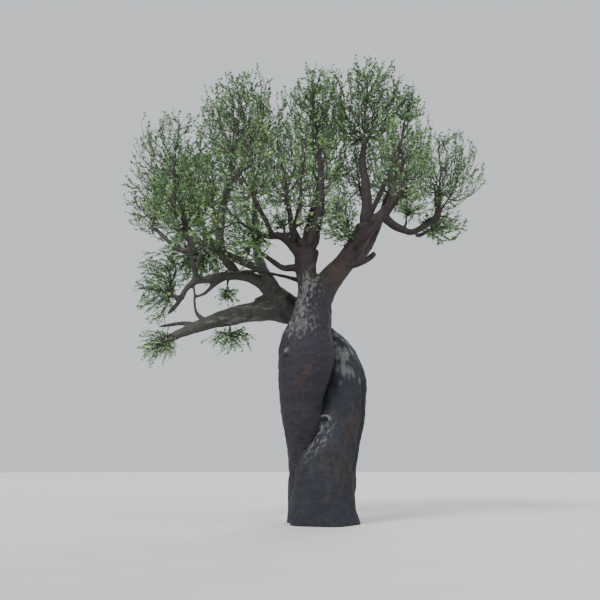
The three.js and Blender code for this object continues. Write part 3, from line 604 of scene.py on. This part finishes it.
def bark_relief(piece, stations, routes, marks):
    """Moves the skin in and out: soft swellings, wrinkles across each limb, and the trunk's marks. How slim
    the limb is, for the lighter limb tone that is painted sunlight, where painted shade darkens creases and
    hollows, where painted sunlight and highlights lighten it, where rust-red shows and where on the limb it
    lies go into attributes."""
    mesh = piece.data
    mesh.update()
    points, normals = read_vectors(mesh, "co"), read_vectors(mesh, "normal")
    skin, girth = skin_places(points, axis_samples(stations, routes))
    # The shifts keep one kind's marks from lying where another's do
    crease, sunk = relief(skin, CREASES, girth, CREASE_NARROWNESS)
    depth = relief(points, SWELLINGS, girth)[1] + relief(points + 7.0, LUMPS, girth)[1]
    depth += relief(skin + 5.0, FINE_WRINKLES, girth)[1] - sunk
    # Painted shade: creases are darkened in the bark colour
    hollow = crease * CREASE_SHADE
    # Painted light: slim limbs take a lighter tone than the thick trunks, which are painted as in shade
    limb = (SUNLIT_LIMB_GIRTH - girth) / SUNLIT_LIMB_TURN
    pale, rust = nothing(points), nothing(points)
    # Each mark gives its move, its painted shade, its painted light and its rust-red
    for mark in marks:
        move, dark, light, red = mark(points, normals)
        depth += move
        hollow = np.maximum(hollow, dark)
        pale = np.maximum(pale, light)
        rust = np.maximum(rust, red)
    points += normals * depth[:, None]
    mesh.vertices.foreach_set("co", points.astype(np.float32).ravel())
    for name, values in (("limb", limb), ("hollow", hollow), ("pale", pale), ("rust", rust)):
        write_attribute(mesh, name, "FLOAT", "value", np.clip(values, 0, 1))
    write_attribute(mesh, "skin", "FLOAT_VECTOR", "vector", skin)
    cut_at_ground(mesh)


def cut_at_ground(mesh):
    """Cuts the foot flat at ground level and closes it."""
    shape = bmesh.new()
    shape.from_mesh(mesh)
    whole = shape.verts[:] + shape.edges[:] + shape.faces[:]
    bmesh.ops.bisect_plane(shape, geom=whole, plane_co=(0, 0, 0), plane_no=(0, 0, 1), clear_inner=True)
    rim = [edge for edge in shape.edges if edge.is_boundary]
    bmesh.ops.holes_fill(shape, edges=rim)
    shape.to_mesh(mesh)
    shape.free()
    mesh.update()


def nothing(points):
    """What a mark adds where it has none of a kind: no move, no shade or no colour."""
    return np.zeros(len(points))


def knob(place, size, height):
    """The scar of a lost twig: a low round knob with a dimple darkened by painted shade, and a painted
    highlight on its upper lip.
    """
    spot, out = place

    def bulge(local, rise, spread):
        return np.exp(-((local - np.array([0, 0, size * rise])) ** 2).sum(1) / (size * spread) ** 2)

    def mark(points, normals):
        local = points - spot
        away = np.linalg.norm(local, axis=1) / size
        facing = (normals @ out) > 0.2
        dimple, lip = bulge(local, *DIMPLE), bulge(local, *LIP)
        move = (np.exp(-away ** 2 * 1.3) - 1.1 * dimple + 0.3 * lip) * height
        return (move * facing, dimple * facing, lip * facing * 0.75, nothing(points))
    return mark


def hooded_scar(place, width, height):
    """A healed wound: a thick arched lip with a painted highlight, that hoods a hollow darkened by painted
    shade.
    """
    spot, out = place
    side = np.cross([0, 0, 1], out)

    def mark(points, normals):
        local = points - spot
        x, z = local @ side / width, local[:, 2] / height
        keep = ((normals @ out) > 0.1) & (np.abs(local @ out) < 0.5)
        far = np.hypot(x, z)
        arch = np.exp(-((far - 1) / SCAR_LIP) ** 2) * (z > -0.1)
        inside = np.exp(-(np.hypot(x / 0.8, (z - 0.2) / 0.6)) ** 4)
        move = (arch - inside) * SCAR_DEPTH
        return (move * keep, inside * keep * 0.85, arch * keep * 0.85, nothing(points))
    return mark


def scaly_patch(place, width, height, lean):
    """Rough, flaking bark: pale plates that stand on edge, paler where they stand higher as a painted
    highlight, with cracks between them darkened by painted shade.
    """
    spot, out = place
    side = np.cross([0, 0, 1], out)

    def mark(points, normals):
        local = points - spot
        x = (local @ side - lean * local[:, 2]) / width
        keep = np.exp(-np.hypot(x, local[:, 2] / height) ** 4) * ((normals @ out) > 0)
        leant = np.column_stack([local @ side - PLATE_LEAN * local[:, 2], local @ out, local[:, 2]])
        plates = np.array([noise.fractal(Vector(p), 0.8, 2.0, 3) for p in leant * np.array(PLATES)])
        cracks = np.clip(1 - np.abs(plates) * 4, 0, 1)
        return ((plates * PLATE_HEIGHT - cracks * CRACK_DEPTH) * keep, cracks * keep * 0.6,
                np.clip(0.12 + plates * 1.1, 0, 0.6) * keep, nothing(points))
    return mark


def stain_and_sunlit_patch(place, width, height, kind, strength, streaks):
    """A patch of colour with ragged edges: a pale patch of painted sunlight, or a rust-red one. Its streaks
    are long on the axis where few lie in a metre."""
    spot, out = place
    side = np.cross([0, 0, 1], out)

    def mark(points, normals):
        local = points - spot
        scaled = points * np.array(streaks)
        ragged = np.array([noise.fractal(Vector(p), 1.0, 2.0, 4) for p in scaled])
        far = np.hypot(local @ side / width, local[:, 2] / height)
        value = np.clip(1.1 - far + ragged * PATCH_RAGGEDNESS, 0, 1) * strength
        value = value * ((normals @ out) > -0.1) * (far < PATCH_REACH)
        none = nothing(points)
        return (none, none, value if kind == "pale" else none, value if kind == "rust" else none)
    return mark


def groove(stations, heights_and_turns, width, depth):
    """A long crease that follows a line of places on a trunk's side, darkened along it with painted shade.
    """
    line = [on_trunk(stations, height, turn)[0] for height, turn in heights_and_turns]
    places = smooth_line(line, GROOVE_STEPS, 0.5)

    def mark(points, normals):
        near = (points[:, 2] > places[:, 2].min() - 0.3) & (points[:, 2] < places[:, 2].max() + 0.3)
        away = np.full(len(points), 9.0)
        gap = np.linalg.norm(points[near][:, None] - places[None], axis=2)
        away[near] = gap.min(axis=1)
        sunk = np.exp(-(away / width) ** 2)
        return (-depth * sunk, sunk * 0.7, nothing(points), nothing(points))
    return mark


def share_out(points):
    """How far out points lie in every mass: 0 in its middle, 1 on its skin."""
    return np.linalg.norm((points[:, None] - MIDDLES) / RADII, axis=2)


def own_space(points, own):
    """Whether every point is in a mass's space and nearer to its middle than to any other's."""
    shares = share_out(points)
    others = np.delete(shares, own, axis=1).min(axis=1)
    return bool(np.all((shares[:, own] < SPACE_REACH) & (others > shares[:, own] + SPACE_MARGIN)))


def camera_view(points):
    """Points as the camera sees them: how far across, how far up and how deep."""
    local = points - np.array(CAMERA_PLACE)
    return local[:, 0] / local[:, 1], local[:, 2] / local[:, 1], local[:, 1]


def before_wood(ends, wood):
    """Whether each end stands close in front of a bough or a stem, as the camera sees it."""
    across, up, depth = camera_view(ends)
    wood_across, wood_up, wood_depth = camera_view(wood)
    beside = np.hypot(across[:, None] - wood_across, up[:, None] - wood_up) * wood_depth
    return np.any((beside < SIGHT_GAP) & (depth[:, None] < wood_depth - SIGHT_DEPTH), axis=1)


class Twigs:
    """The twigs of one mass as a growing tree of places, each with the place before it."""

    def __init__(self, route, own, chance, limb_points, limb_radii):
        self.own, self.chance = own, chance
        self.rise = RISE.get(MASS_NAMES[own], 1.0)
        self.mean_radius = math.sqrt(sum(RADII[own] * np.roll(RADII[own], 1)) / 3)
        usual = FEWEST_TWIGS + TWIGS_PER_SQUARE_METRE * self.mean_radius ** 2
        self.ends = round(usual * MASSES[MASS_NAMES[own]][2])
        self.stem_radius = float(route.radius(1))
        near = share_out(limb_points)[:, own] < LIMB_REACH
        self.limb_points, self.limb_radii = limb_points[near], limb_radii[near]
        room = PLACES_PER_TWIG * self.ends
        self.places, self.directions = np.zeros((room, 3)), np.zeros((room, 3))
        self.path, self.level = np.zeros(room), np.zeros(room)
        self.before = np.full(room, -1)
        self.count = 0
        self.chains = []
        self.add(self.stem_line(route), -1, 0, STEM_BARE_SHARE)

    def stem_line(self, route):
        """The stem goes on from its bough's tip and turns the way that its mass grows."""
        foot, direction = route.line[-1], route.tip_direction()
        length = self.mean_radius * STEM_SHARE
        steps = max(3, round(length / TWIG_STEP))
        line, heading = [foot], direction
        for _ in range(steps):
            heading = unit(heading + np.array([0, 0, STEM_RISE * self.rise])
                           + self.chance.normal(0, STEM_CROOK, 3))
            line.append(line[-1] + heading * length / steps)
        line = np.array(line)
        inside = share_out(line)[:, self.own] < STEM_END
        return line[:max(3, int(np.argmin(inside)) if not inside.all() else len(line))]

    def add(self, line, carrier, level, bare):
        """Adds a twig's places. Nothing springs from the bare share next to its foot."""
        first = self.count
        new = line[1:] if carrier >= 0 else line
        steps = np.diff(line, axis=0)
        lengths = np.cumsum(np.linalg.norm(steps, axis=1))
        directions = unit(steps)
        if carrier < 0:
            directions = np.vstack([directions[:1], directions])
            lengths = np.concatenate([[0], lengths])
        own = slice(first, first + len(new))
        self.places[own] = new
        self.directions[own] = directions
        self.before[own] = [carrier, *range(first, first + len(new) - 1)]
        self.path[own] = lengths + (self.path[carrier] if carrier >= 0 else 0)
        self.level[own] = np.where(np.arange(len(new)) >= bare * (len(new) - 1), level, MOST_LEVELS)
        self.count += len(new)
        self.chains.append(([carrier] if carrier >= 0 else []) + list(range(first, self.count)))

    def free(self, line):
        """Whether a twig stays in the solids' box and its mass's space, and clear of every limb."""
        low, high = np.array(cad_box) + [[-BOX_REACH], [BOX_REACH]]
        if np.any(line < low) or np.any(line > high) or not own_space(line[1:], self.own):
            return False
        gaps = np.linalg.norm(line[2:, None] - self.limb_points, axis=2) - self.limb_radii
        return gaps.size == 0 or gaps.min() > LIMB_CLEARANCE

    def carrier_for(self, target):
        """The place that a twig to the target springs from at the least cost: near, with little turn,
        growing up and not far from the bough. No place answers where every one is too near or too fine."""
        grown = slice(0, self.count)
        ahead = target - self.places[grown]
        far = np.linalg.norm(ahead, axis=1)
        heading = ahead / np.maximum(far, 1e-6)[:, None]
        turn = (1 - (heading * self.directions[grown]).sum(axis=1)) / 2
        climb = (1 - heading[:, 2] * self.rise) / 2
        cost = far * (1 + TURN_COST * turn + CLIMB_COST * climb)
        cost += PATH_WEIGHT * self.path[grown] + LEVEL_COST * self.level[grown]
        cost[(self.level[grown] >= MOST_LEVELS) | (far < SHORTEST_TWIG)] = np.inf
        carrier = int(cost.argmin())
        return carrier if np.isfinite(cost[carrier]) else None

    def reach(self, target):
        """Grows a twig to the target, or says that it has no room."""
        carrier = self.carrier_for(target)
        if carrier is None:
            return False
        start = self.places[carrier]
        length = np.linalg.norm(target - start)
        heading = (target - start) / length
        leave = unit(heading + FOOT_PULL * self.directions[carrier])
        arrive = unit(heading + np.array([0, 0, END_RISE * self.rise]))
        steps = int(np.clip(round(length / TWIG_STEP), *TWIG_STEPS))
        t = np.linspace(0, 1, steps + 1)[:, None]
        bend_in = start + leave * length * BEND_SHARE
        bend_out = target - arrive * length * BEND_SHARE
        line = ((1 - t) ** 3 * start + 3 * t * (1 - t) ** 2 * bend_in + 3 * t ** 2 * (1 - t) * bend_out
                + t ** 3 * target)
        crook = self.chance.normal(0, TWIG_CROOK * min(length, MOST_CROOKED), (steps + 1, 3))
        line = line + crook * np.sin(t * math.pi)
        if not self.free(line):
            return False
        self.add(line, carrier, self.level[carrier] + 1, 0)
        return True

    def end_offsets(self, wood):
        """Where twigs are to end, from the middle of the mass: spread evenly round it, with bumps and
        hollows, further out where a neighbour is close, and few where they would hide the wood."""
        order = np.arange(self.ends)
        height = 1 - (2 * order + 1) / self.ends
        ring = np.sqrt(1 - height ** 2)
        turns = order * GOLDEN_TURN
        reach = (INNER_SHARE + (1 - INNER_SHARE) * self.chance.permutation(order) / self.ends) ** GATHERING
        offsets = np.stack([ring * np.cos(turns), ring * np.sin(turns), height], axis=1)
        shift = Vector((self.own, 0, 0))
        bumps = np.array([noise.noise(Vector(way * BUMP_SCALE) + shift) for way in offsets])
        reach *= 1 + BUMP_SHARE * bumps
        outside = share_out(MIDDLES[self.own] + offsets * RADII[self.own] * LANE_REACH)
        closed = np.delete(outside, self.own, axis=1).min(axis=1) < LANE_GAP
        reach = np.where(closed, reach * LANE_REACH, reach)
        offsets = offsets * RADII[self.own] * reach[:, None] + self.chance.normal(0, RAGGED, (self.ends, 3))
        in_front = before_wood(MIDDLES[self.own] + offsets, wood)
        return offsets[~(in_front & (self.chance.random(self.ends) > SIGHT_SHARE))]

    def grow(self, wood):
        """Grows a twig to every end, the farthest from the stem's end first. An end that can't be reached
        is tried further in."""
        middle, offsets = MIDDLES[self.own], self.end_offsets(wood)
        far = np.linalg.norm(middle + offsets - self.places[self.count - 1], axis=1)
        for offset in offsets[np.argsort(-far)]:
            for pull in PULLS:
                if self.reach(middle + offset * pull):
                    break

    def radii(self):
        """Radii at the places, which grow with the twigs that each one feeds."""
        feeds = np.zeros(self.count)
        for chain in self.chains[1:]:
            spot = chain[-1]
            while spot >= 0:
                feeds[spot] += 1
                spot = self.before[spot]
        exponent = math.log(self.stem_radius / FINE_TWIG) / math.log(max(feeds.max(), 2))
        grown = self.stem_radius * (np.maximum(feeds, 1) / max(feeds.max(), 1)) ** exponent
        return np.maximum(grown, FINEST_TWIG)


def grow_crown(routes):
    """Every mass's twigs, in the order of the boughs that feed them."""
    shares = np.linspace(0, 1, LIMB_SAMPLES)
    crown = {}
    feeders = [route for route in routes.values() if route.mass]
    for i, route in enumerate(feeders):
        points, radii = [], []
        for other in routes.values():
            kept = shares[:-1] if other is route else shares
            points.append(other.at(kept))
            radii.append(other.radius(kept))
        crown[route.mass] = Twigs(route, MASS_NAMES.index(route.mass), np.random.default_rng(i + 1),
                                  np.concatenate(points), np.concatenate(radii))
    stems = [twigs.places[:twigs.count] for twigs in crown.values()]
    wood = np.concatenate([route.at(shares) for route in routes.values()] + stems)
    for twigs in crown.values():
        twigs.grow(wood[wood[:, 1] < FRONT_WOOD])
    return crown


def twig_arrays(crown, names):
    """All the twigs of the named masses: tubes of three sides, or of five where they are thick."""
    points, faces, total = [], [], 0
    for name in names:
        twigs = crown[name]
        radii = twigs.radii()
        for chain in twigs.chains:
            own = radii[chain].copy()
            if chain is not twigs.chains[0]:
                own[0] = own[1]
                own[-1] = FINEST_TWIG * TWIG_TIP
            sides = 3 if own[0] < STOUT_TWIG else 5
            points.append(tube(twigs.places[chain], own, sides))
            faces.append(ring_faces(len(chain), sides, total))
            total += len(points[-1])
    return np.concatenate(points), np.concatenate(faces)


def leaf_feet(crown, names, chance):
    """Where leaves stand along the last stretch of every twig, the way on there, and their twig's tone."""
    feet, axes, tones = [], [], []
    for name in names:
        twigs = crown[name]
        for chain in twigs.chains[1:]:
            line = twigs.places[chain]
            lengths = np.concatenate([[0], np.cumsum(np.linalg.norm(np.diff(line, axis=0), axis=1))])
            start = max(BARE_FOOT, lengths[-1] - SPRAY_LENGTH)
            count = max(FEWEST_LEAVES, round((lengths[-1] - start) / LEAF_SPACING))
            spots = np.linspace(start, lengths[-1], count)
            feet.append(np.stack([np.interp(spots, lengths, line[:, k]) for k in range(3)], axis=1))
            axes.append(np.repeat(unit(line[-1] - line[-2])[None], count, axis=0))
            tones.append(np.full(count, chance.choice(len(LEAF_TONES), p=LEAF_TONE_SHARES)))
    return np.concatenate(feet), np.concatenate(axes), np.concatenate(tones)


def leaf_arrays(crown, names, chance):
    """Palmate leaves on short stalks round their twigs: five leaflets of two triangles each."""
    feet, axes, tones = leaf_feet(crown, names, chance)
    count = len(feet)
    turns = np.arange(count) * GOLDEN_TURN + chance.normal(0, PETIOLE_SCATTER, count)
    one = unit(np.cross(axes, np.array([0.3, 0.8, 0.52])))
    two = np.cross(axes, one)
    outward = np.cos(turns)[:, None] * one + np.sin(turns)[:, None] * two
    lean = np.radians(chance.normal(*PETIOLE_LEAN, count))[:, None]
    petiole = unit(outward * np.sin(lean) + axes * np.cos(lean))
    side = unit(np.cross(petiole, np.array([0, 0, 1.0])) + chance.normal(0, BLADE_TILT, (count, 3)))
    side = unit(side - petiole * (side * petiole).sum(axis=1)[:, None])
    up = np.cross(side, petiole)
    length = LEAFLET_LENGTH * chance.uniform(*LEAFLET_LENGTHS, count)
    corners = [feet[:, None]]
    for turn, share in zip(LEAFLET_TURNS, LEAFLET_SHARES):
        way = petiole * math.cos(turn) + side * math.sin(turn)
        wide = side * math.cos(turn) - petiole * math.sin(turn)
        reach = (length * share)[:, None]
        belly = feet + way * reach * BELLY_PLACE + up * reach * BELLY_RISE
        tip = feet + way * reach - up * reach * TIP_DROOP
        half = wide * reach * LEAFLET_WIDTH / 2
        corners.append(np.stack([belly - half, tip, belly + half], axis=1))
    points = np.concatenate(corners, axis=1)
    first = np.arange(len(LEAFLET_TURNS))[:, None] * 3 + 1
    near, far = np.hstack([first * 0, first, first + 1]), np.hstack([first * 0, first + 1, first + 2])
    leaf = np.concatenate([near, far])
    faces = (np.arange(count)[:, None, None] * points.shape[1] + leaf).reshape(-1, 3)
    return points.reshape(-1, 3), faces, np.repeat(tones, len(leaf))


def linear(text):
    """A hex colour of the screen as linear light."""
    channels = [int(text[i:i + 2], 16) / 255 for i in (1, 3, 5)]
    return [c / 12.92 if c <= 0.04045 else ((c + 0.055) / 1.055) ** 2.4 for c in channels] + [1.0]


def grey(value):
    return value, value, value, 1.0


def per_metre(millimetres):
    """The scale of a pattern whose marks are that large."""
    return 1000 / millimetres


def add(tree, kind, values=None, links=None, stops=None, **settings):
    """Adds a node with its settings, the values and links of its sockets and the stops of its ramp."""
    made = tree.nodes.new("ShaderNode" + kind)
    for name, value in settings.items():
        setattr(made, name, value)
    for socket, value in (values or {}).items():
        made.inputs[socket].default_value = value
    for socket, output in (links or {}).items():
        tree.links.new(output, made.inputs[socket])
    for i, (place, value) in enumerate(stops or []):
        elements = made.color_ramp.elements
        element = elements[i] if i < 2 else elements.new(place)
        element.position = place
        element.color = value
    return made


def new_material(name):
    material = bpy.data.materials.new(name)
    material.use_nodes = True
    material.node_tree.nodes.clear()
    return material, material.node_tree


# Sizes in millimetres of the marks on every surface. Wrinkles and flecks are drawn two or three times as
# coarse as real ones, which are too fine to show from where the camera is.
CLOUD_SIZE = 769
WRINKLE_SIZE = 200
MOTTLE_SIZE = 111.1
FLECK_SIZE = 71.43
TWIG_PATCH_SIZE = 142.9
LEAF_PATCH_SIZE = 83.33
FLOOR_PATCH_SIZE = 1250
WRINKLE_SQUEEZE = 2.6  # how much narrower wrinkles and flecks are along a limb than across it
FLECK_DEPTH = 0.4  # against the wrinkles


def baobab_bark(name, main, cool, limb, dark, pale, rust):
    """Bark of a grown baobab: smooth and leathery like an elephant's hide, dull, with wrinkles across it,
    cloudy patches a hand to an arm wide, and flecks where the skin has cracked."""
    material, tree = new_material(name)
    spot = {"Vector": add(tree, "TexCoord").outputs["Object"]}
    skin = add(tree, "Attribute", attribute_name="skin").outputs["Vector"]
    squeezed = add(tree, "Mapping", {"Scale": (1.0, 1.0, WRINKLE_SQUEEZE)}, {"Vector": skin})
    across = {"Vector": squeezed.outputs["Vector"]}
    clouds = add(tree, "TexNoise", {"Scale": per_metre(CLOUD_SIZE), "Detail": 6.0, "Roughness": 0.62}, spot)
    wrinkles = add(tree, "TexNoise", {"Scale": per_metre(WRINKLE_SIZE), "Detail": 6.0, "Roughness": 0.6},
                   across)
    mottle = add(tree, "TexNoise", {"Scale": per_metre(MOTTLE_SIZE), "Detail": 7.0, "Roughness": 0.62}, spot)
    flecks = add(tree, "TexVoronoi", {"Scale": per_metre(FLECK_SIZE), "Randomness": 1.0}, across)
    hue = add(tree, "ValToRGB", links={"Fac": clouds.outputs["Fac"]},
              stops=[(0.36, linear(main)), (0.64, linear(cool))])
    result = hue.outputs["Color"]
    # Painted sunlight: slim limbs turn to the lighter limb tone, against the trunk's darker tone of painted
    # shade
    thin = add(tree, "Attribute", attribute_name="limb").outputs["Fac"]
    result = add(tree, "Mix", {"B": linear(limb)}, {"Factor": thin, "A": result},
                 data_type="RGBA").outputs["Result"]
    # Painted shade in the troughs of the wrinkles, and mottling that varies the tone at random
    for pattern, low, high, strength in (
            (wrinkles, (0.3, grey(0.35)), (0.62, grey(1.0)), 0.4),
            (mottle, (0.32, grey(0.62)), (0.7, grey(1.45)), 0.65)):
        shade = add(tree, "ValToRGB", links={"Fac": pattern.outputs["Fac"]}, stops=[low, high])
        result = add(tree, "Mix", {"Factor": strength}, {"A": result, "B": shade.outputs["Color"]},
                     data_type="RGBA", blend_type="MULTIPLY").outputs["Result"]
    # A rust-red colour, then painted sunlight and highlights, then painted shade in creases and hollows
    for attribute, colour in (("rust", rust), ("pale", pale), ("hollow", dark)):
        amount = add(tree, "Attribute", attribute_name=attribute).outputs["Fac"]
        result = add(tree, "Mix", {"B": linear(colour)}, {"Factor": amount, "A": result},
                     data_type="RGBA").outputs["Result"]
    fleck = add(tree, "ValToRGB", links={"Fac": flecks.outputs["Distance"]},
                stops=[(0.05, grey(0.0)), (0.3, grey(1.0))])
    height = add(tree, "Math", {1: FLECK_DEPTH}, {0: fleck.outputs["Color"]}, operation="MULTIPLY")
    stacked = add(tree, "Math", {}, {0: wrinkles.outputs["Fac"], 1: height.outputs[0]}, operation="ADD")
    bump = add(tree, "Bump", {"Strength": 0.6, "Distance": 0.02}, {"Height": stacked.outputs[0]})
    fine = add(tree, "Bump", {"Strength": 0.5, "Distance": 0.012},
               {"Height": mottle.outputs["Fac"], "Normal": bump.outputs["Normal"]})
    shader = add(tree, "BsdfPrincipled", {"Roughness": 0.82, "IOR": 1.45},
                 {"Base Color": result, "Normal": fine.outputs["Normal"]})
    add(tree, "OutputMaterial", links={"Surface": shader.outputs["BSDF"]})
    return material


def young_twig_bark():
    """Bark of young twigs: grey-brown and dull. Its patches go from twig to twig, as those on a single one
    are too fine to show."""
    material, tree = new_material("young_twig_bark")
    spot = add(tree, "TexCoord").outputs["Object"]
    patches = add(tree, "TexNoise", {"Scale": per_metre(TWIG_PATCH_SIZE), "Detail": 4.0}, {"Vector": spot})
    hue = add(tree, "ValToRGB", links={"Fac": patches.outputs["Fac"]},
              stops=[(0.35, linear("#3a3533")), (0.65, linear("#5c5551"))])
    bump = add(tree, "Bump", {"Strength": 0.3, "Distance": 0.004}, {"Height": patches.outputs["Fac"]})
    shader = add(tree, "BsdfPrincipled", {"Roughness": 0.85},
                 {"Base Color": hue.outputs["Color"], "Normal": bump.outputs["Normal"]})
    add(tree, "OutputMaterial", links={"Surface": shader.outputs["BSDF"]})
    return material


# Leaves from old and deep green to young and yellowish, and how common each is
LEAF_TONES = {"leaf_deep": "#4d7043", "leaf_dull": "#648c55", "leaf_mid": "#7aa46a", "leaf_grey": "#8eb389",
              "leaf_young": "#a4bf6c"}
LEAF_TONE_SHARES = [0.2, 0.28, 0.28, 0.16, 0.08]
LIGHTEST, DARKEST = 1.22, 0.8


def leaf_blade(name, colour):
    """A thin, slightly waxy leaf blade: one plain green a twig, a little lighter and darker from leaflet to
    leaflet, as the mottling of a single one is too fine to show."""
    material, tree = new_material(name)
    spot = add(tree, "TexCoord").outputs["Object"]
    uneven = add(tree, "TexNoise", {"Scale": per_metre(LEAF_PATCH_SIZE), "Detail": 2.0}, {"Vector": spot})
    light = [min(1.0, c * LIGHTEST) for c in linear(colour)[:3]] + [1.0]
    dark = [c * DARKEST for c in linear(colour)[:3]] + [1.0]
    hue = add(tree, "ValToRGB", links={"Fac": uneven.outputs["Fac"]}, stops=[(0.35, dark), (0.65, light)])
    shader = add(tree, "BsdfPrincipled", {"Roughness": 0.55, "IOR": 1.42},
                 {"Base Color": hue.outputs["Color"]})
    add(tree, "OutputMaterial", links={"Surface": shader.outputs["BSDF"]})
    return material


def matt_floor_paint():
    """Pale matt studio floor, with the faint unevenness of a coat of paint. Its patches are drawn far
    coarser than the nap of a roller, which is too fine to show."""
    material, tree = new_material("matt_floor_paint")
    spot = add(tree, "TexCoord").outputs["Object"]
    uneven = add(tree, "TexNoise", {"Scale": per_metre(FLOOR_PATCH_SIZE), "Detail": 3.0}, {"Vector": spot})
    hue = add(tree, "ValToRGB", links={"Fac": uneven.outputs["Fac"]},
              stops=[(0.3, linear("#cfcdc8")), (0.7, linear("#d5d3cf"))])
    shader = add(tree, "BsdfPrincipled", {"Roughness": 0.95}, {"Base Color": hue.outputs["Color"]})
    add(tree, "OutputMaterial", links={"Surface": shader.outputs["BSDF"]})
    return material


def put_in_place(piece, nodes):
    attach(piece, "root")
    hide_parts(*nodes)


def trunk_marks(stations, knobs, stains_and_sunlit_patches):
    """The marks of a trunk that its tables list."""
    return [*(knob(on_trunk(stations, height, turn), size, rise) for height, turn, size, rise in knobs),
            *(stain_and_sunlit_patch(on_trunk(stations, height, turn), *look) for height, turn, *look in stains_and_sunlit_patches)]


def make_wood(routes):
    """Both stems with their limbs, each a skin with its own relief and bark."""
    front_marks = [
        *trunk_marks(FRONT_TRUNK, FRONT_KNOBS, FRONT_STAINS_AND_SUNLIT_PATCHES),
        stain_and_sunlit_patch((routes["limb_right"].at(0.35), np.array([0.3, -0.9, 0.3])), 0.35, 0.6, "rust", 0.35, CLOUDY),
        groove(FRONT_TRUNK, [(4.95, -50), (4.7, -50), (4.35, -50)], 0.05, 0.035),
    ]
    under, over = np.array([0, -0.8, -0.6]), np.array([0, -0.5, 0.86])
    rear_marks = [
        hooded_scar(on_trunk(REAR_TRUNK, 3.08, -32), 0.18, 0.13),
        scaly_patch(on_trunk(REAR_TRUNK, 2.5, -36), 0.38, 0.62, 0.4),
        *trunk_marks(REAR_TRUNK, REAR_KNOBS, REAR_STAINS_AND_SUNLIT_PATCHES),
        # Painted highlights: pale bands along the low limb's under and upper edges
        stain_and_sunlit_patch((np.array([-2.7, 0.3, 6.45]), under), 0.6, 0.16, "pale", 0.6, LEVEL),
        stain_and_sunlit_patch((np.array([-2.8, 0.4, 6.95]), over), 0.4, 0.16, "pale", 0.6, LEVEL),
        groove(REAR_TRUNK, [(4.7, 62), (4.0, 58), (3.0, 62), (1.6, 66)], 0.1, 0.06),
    ]
    # The dark main tones paint the trunks as in shade and the lighter limb tones paint the limbs as sunlit;
    # the pale tone is painted sunlight and highlights, and the dark one painted shade
    barks = {
        "front": baobab_bark("smooth_baobab_bark", main="#2e2a33", cool="#272730", limb="#393130",
                             dark="#121014", pale="#7d7f7b", rust="#523a2c"),
        "rear": baobab_bark("weathered_baobab_bark", main="#222228", cool="#232731", limb="#4a4844",
                            dark="#101014", pale="#7d807c", rust="#43352c"),
    }
    for stem, stations, marks in (("front", FRONT_TRUNK, front_marks), ("rear", REAR_TRUNK, rear_marks)):
        own = [route for route in routes.values() if route.stem == stem]
        piece = stem_mesh(stem + "_stem", stations, own)
        bark_relief(piece, stations, own, marks)
        piece.data.materials.clear()
        piece.data.materials.append(barks[stem])
        piece.data.polygons.foreach_set("use_smooth", np.ones(len(piece.data.polygons), bool))
        nodes = ["trunk_" + stem] + [route.name for route in own if route.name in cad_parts]
        put_in_place(piece, nodes)


def make_crown(routes):
    """Twigs and leaves, each kind joined into one piece for a group of masses."""
    crown = grow_crown(routes)
    bark = young_twig_bark()
    greens = [leaf_blade(name, colour) for name, colour in LEAF_TONES.items()]
    for i, (group, names) in enumerate(PIECE_GROUPS.items()):
        nodes = ["foliage_" + name for name in names if "foliage_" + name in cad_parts]
        points, faces = twig_arrays(crown, names)
        twigs = mesh_of("twigs_" + group, points, faces)
        twigs.data.materials.append(bark)
        put_in_place(twigs, nodes)
        points, faces, tones = leaf_arrays(crown, names, np.random.default_rng(100 + i))
        leaves = mesh_of("leaves_" + group, points, faces, tones)
        for green in greens:
            leaves.data.materials.append(green)
        put_in_place(leaves, nodes)


def make_floor():
    bpy.ops.mesh.primitive_circle_add(vertices=96, radius=400, fill_type="NGON")
    floor = bpy.context.object
    floor.name = "floor"
    floor.data.materials.append(matt_floor_paint())


def make_light():
    """Soft daylight-like studio light: a key from the upper left, a weaker fill, a light from behind and a
    pale surround. Each lamp has its strength, how wide it looks and how it is turned, in degrees."""
    for name, energy, angle, turn in (("key", 2.6, 18, (48, 0, -38)), ("fill", 0.8, 60, (62, 0, 55)),
                                      ("back", 1.3, 40, (55, 0, 165))):
        lamp = bpy.data.lights.new(name, "SUN")
        lamp.energy = energy
        lamp.angle = math.radians(angle)
        new_object(name, lamp).rotation_euler = [math.radians(a) for a in turn]
    world = bpy.data.worlds.new("pale surround")
    world.use_nodes = True
    world.node_tree.nodes["Background"].inputs["Color"].default_value = linear("#dfe4ea")
    world.node_tree.nodes["Background"].inputs["Strength"].default_value = 1.0
    bpy.context.scene.world = world


def make_camera():
    camera = bpy.data.cameras.new("camera")
    camera.sensor_width = SENSOR_WIDTH
    camera.lens = LENS
    camera.clip_end = 1000
    made = new_object("camera", camera)
    made.location = CAMERA_PLACE
    made.rotation_euler = (math.radians(90) + CAMERA_PITCH, 0, 0)
    bpy.context.scene.camera = made


make_camera()
limb_routes = lay_out_limbs(LIMBS, {})
all_routes = lay_out_limbs(SIDE_BRANCHES, dict(limb_routes))
make_wood(all_routes)
make_crown(limb_routes)
make_floor()
make_light()
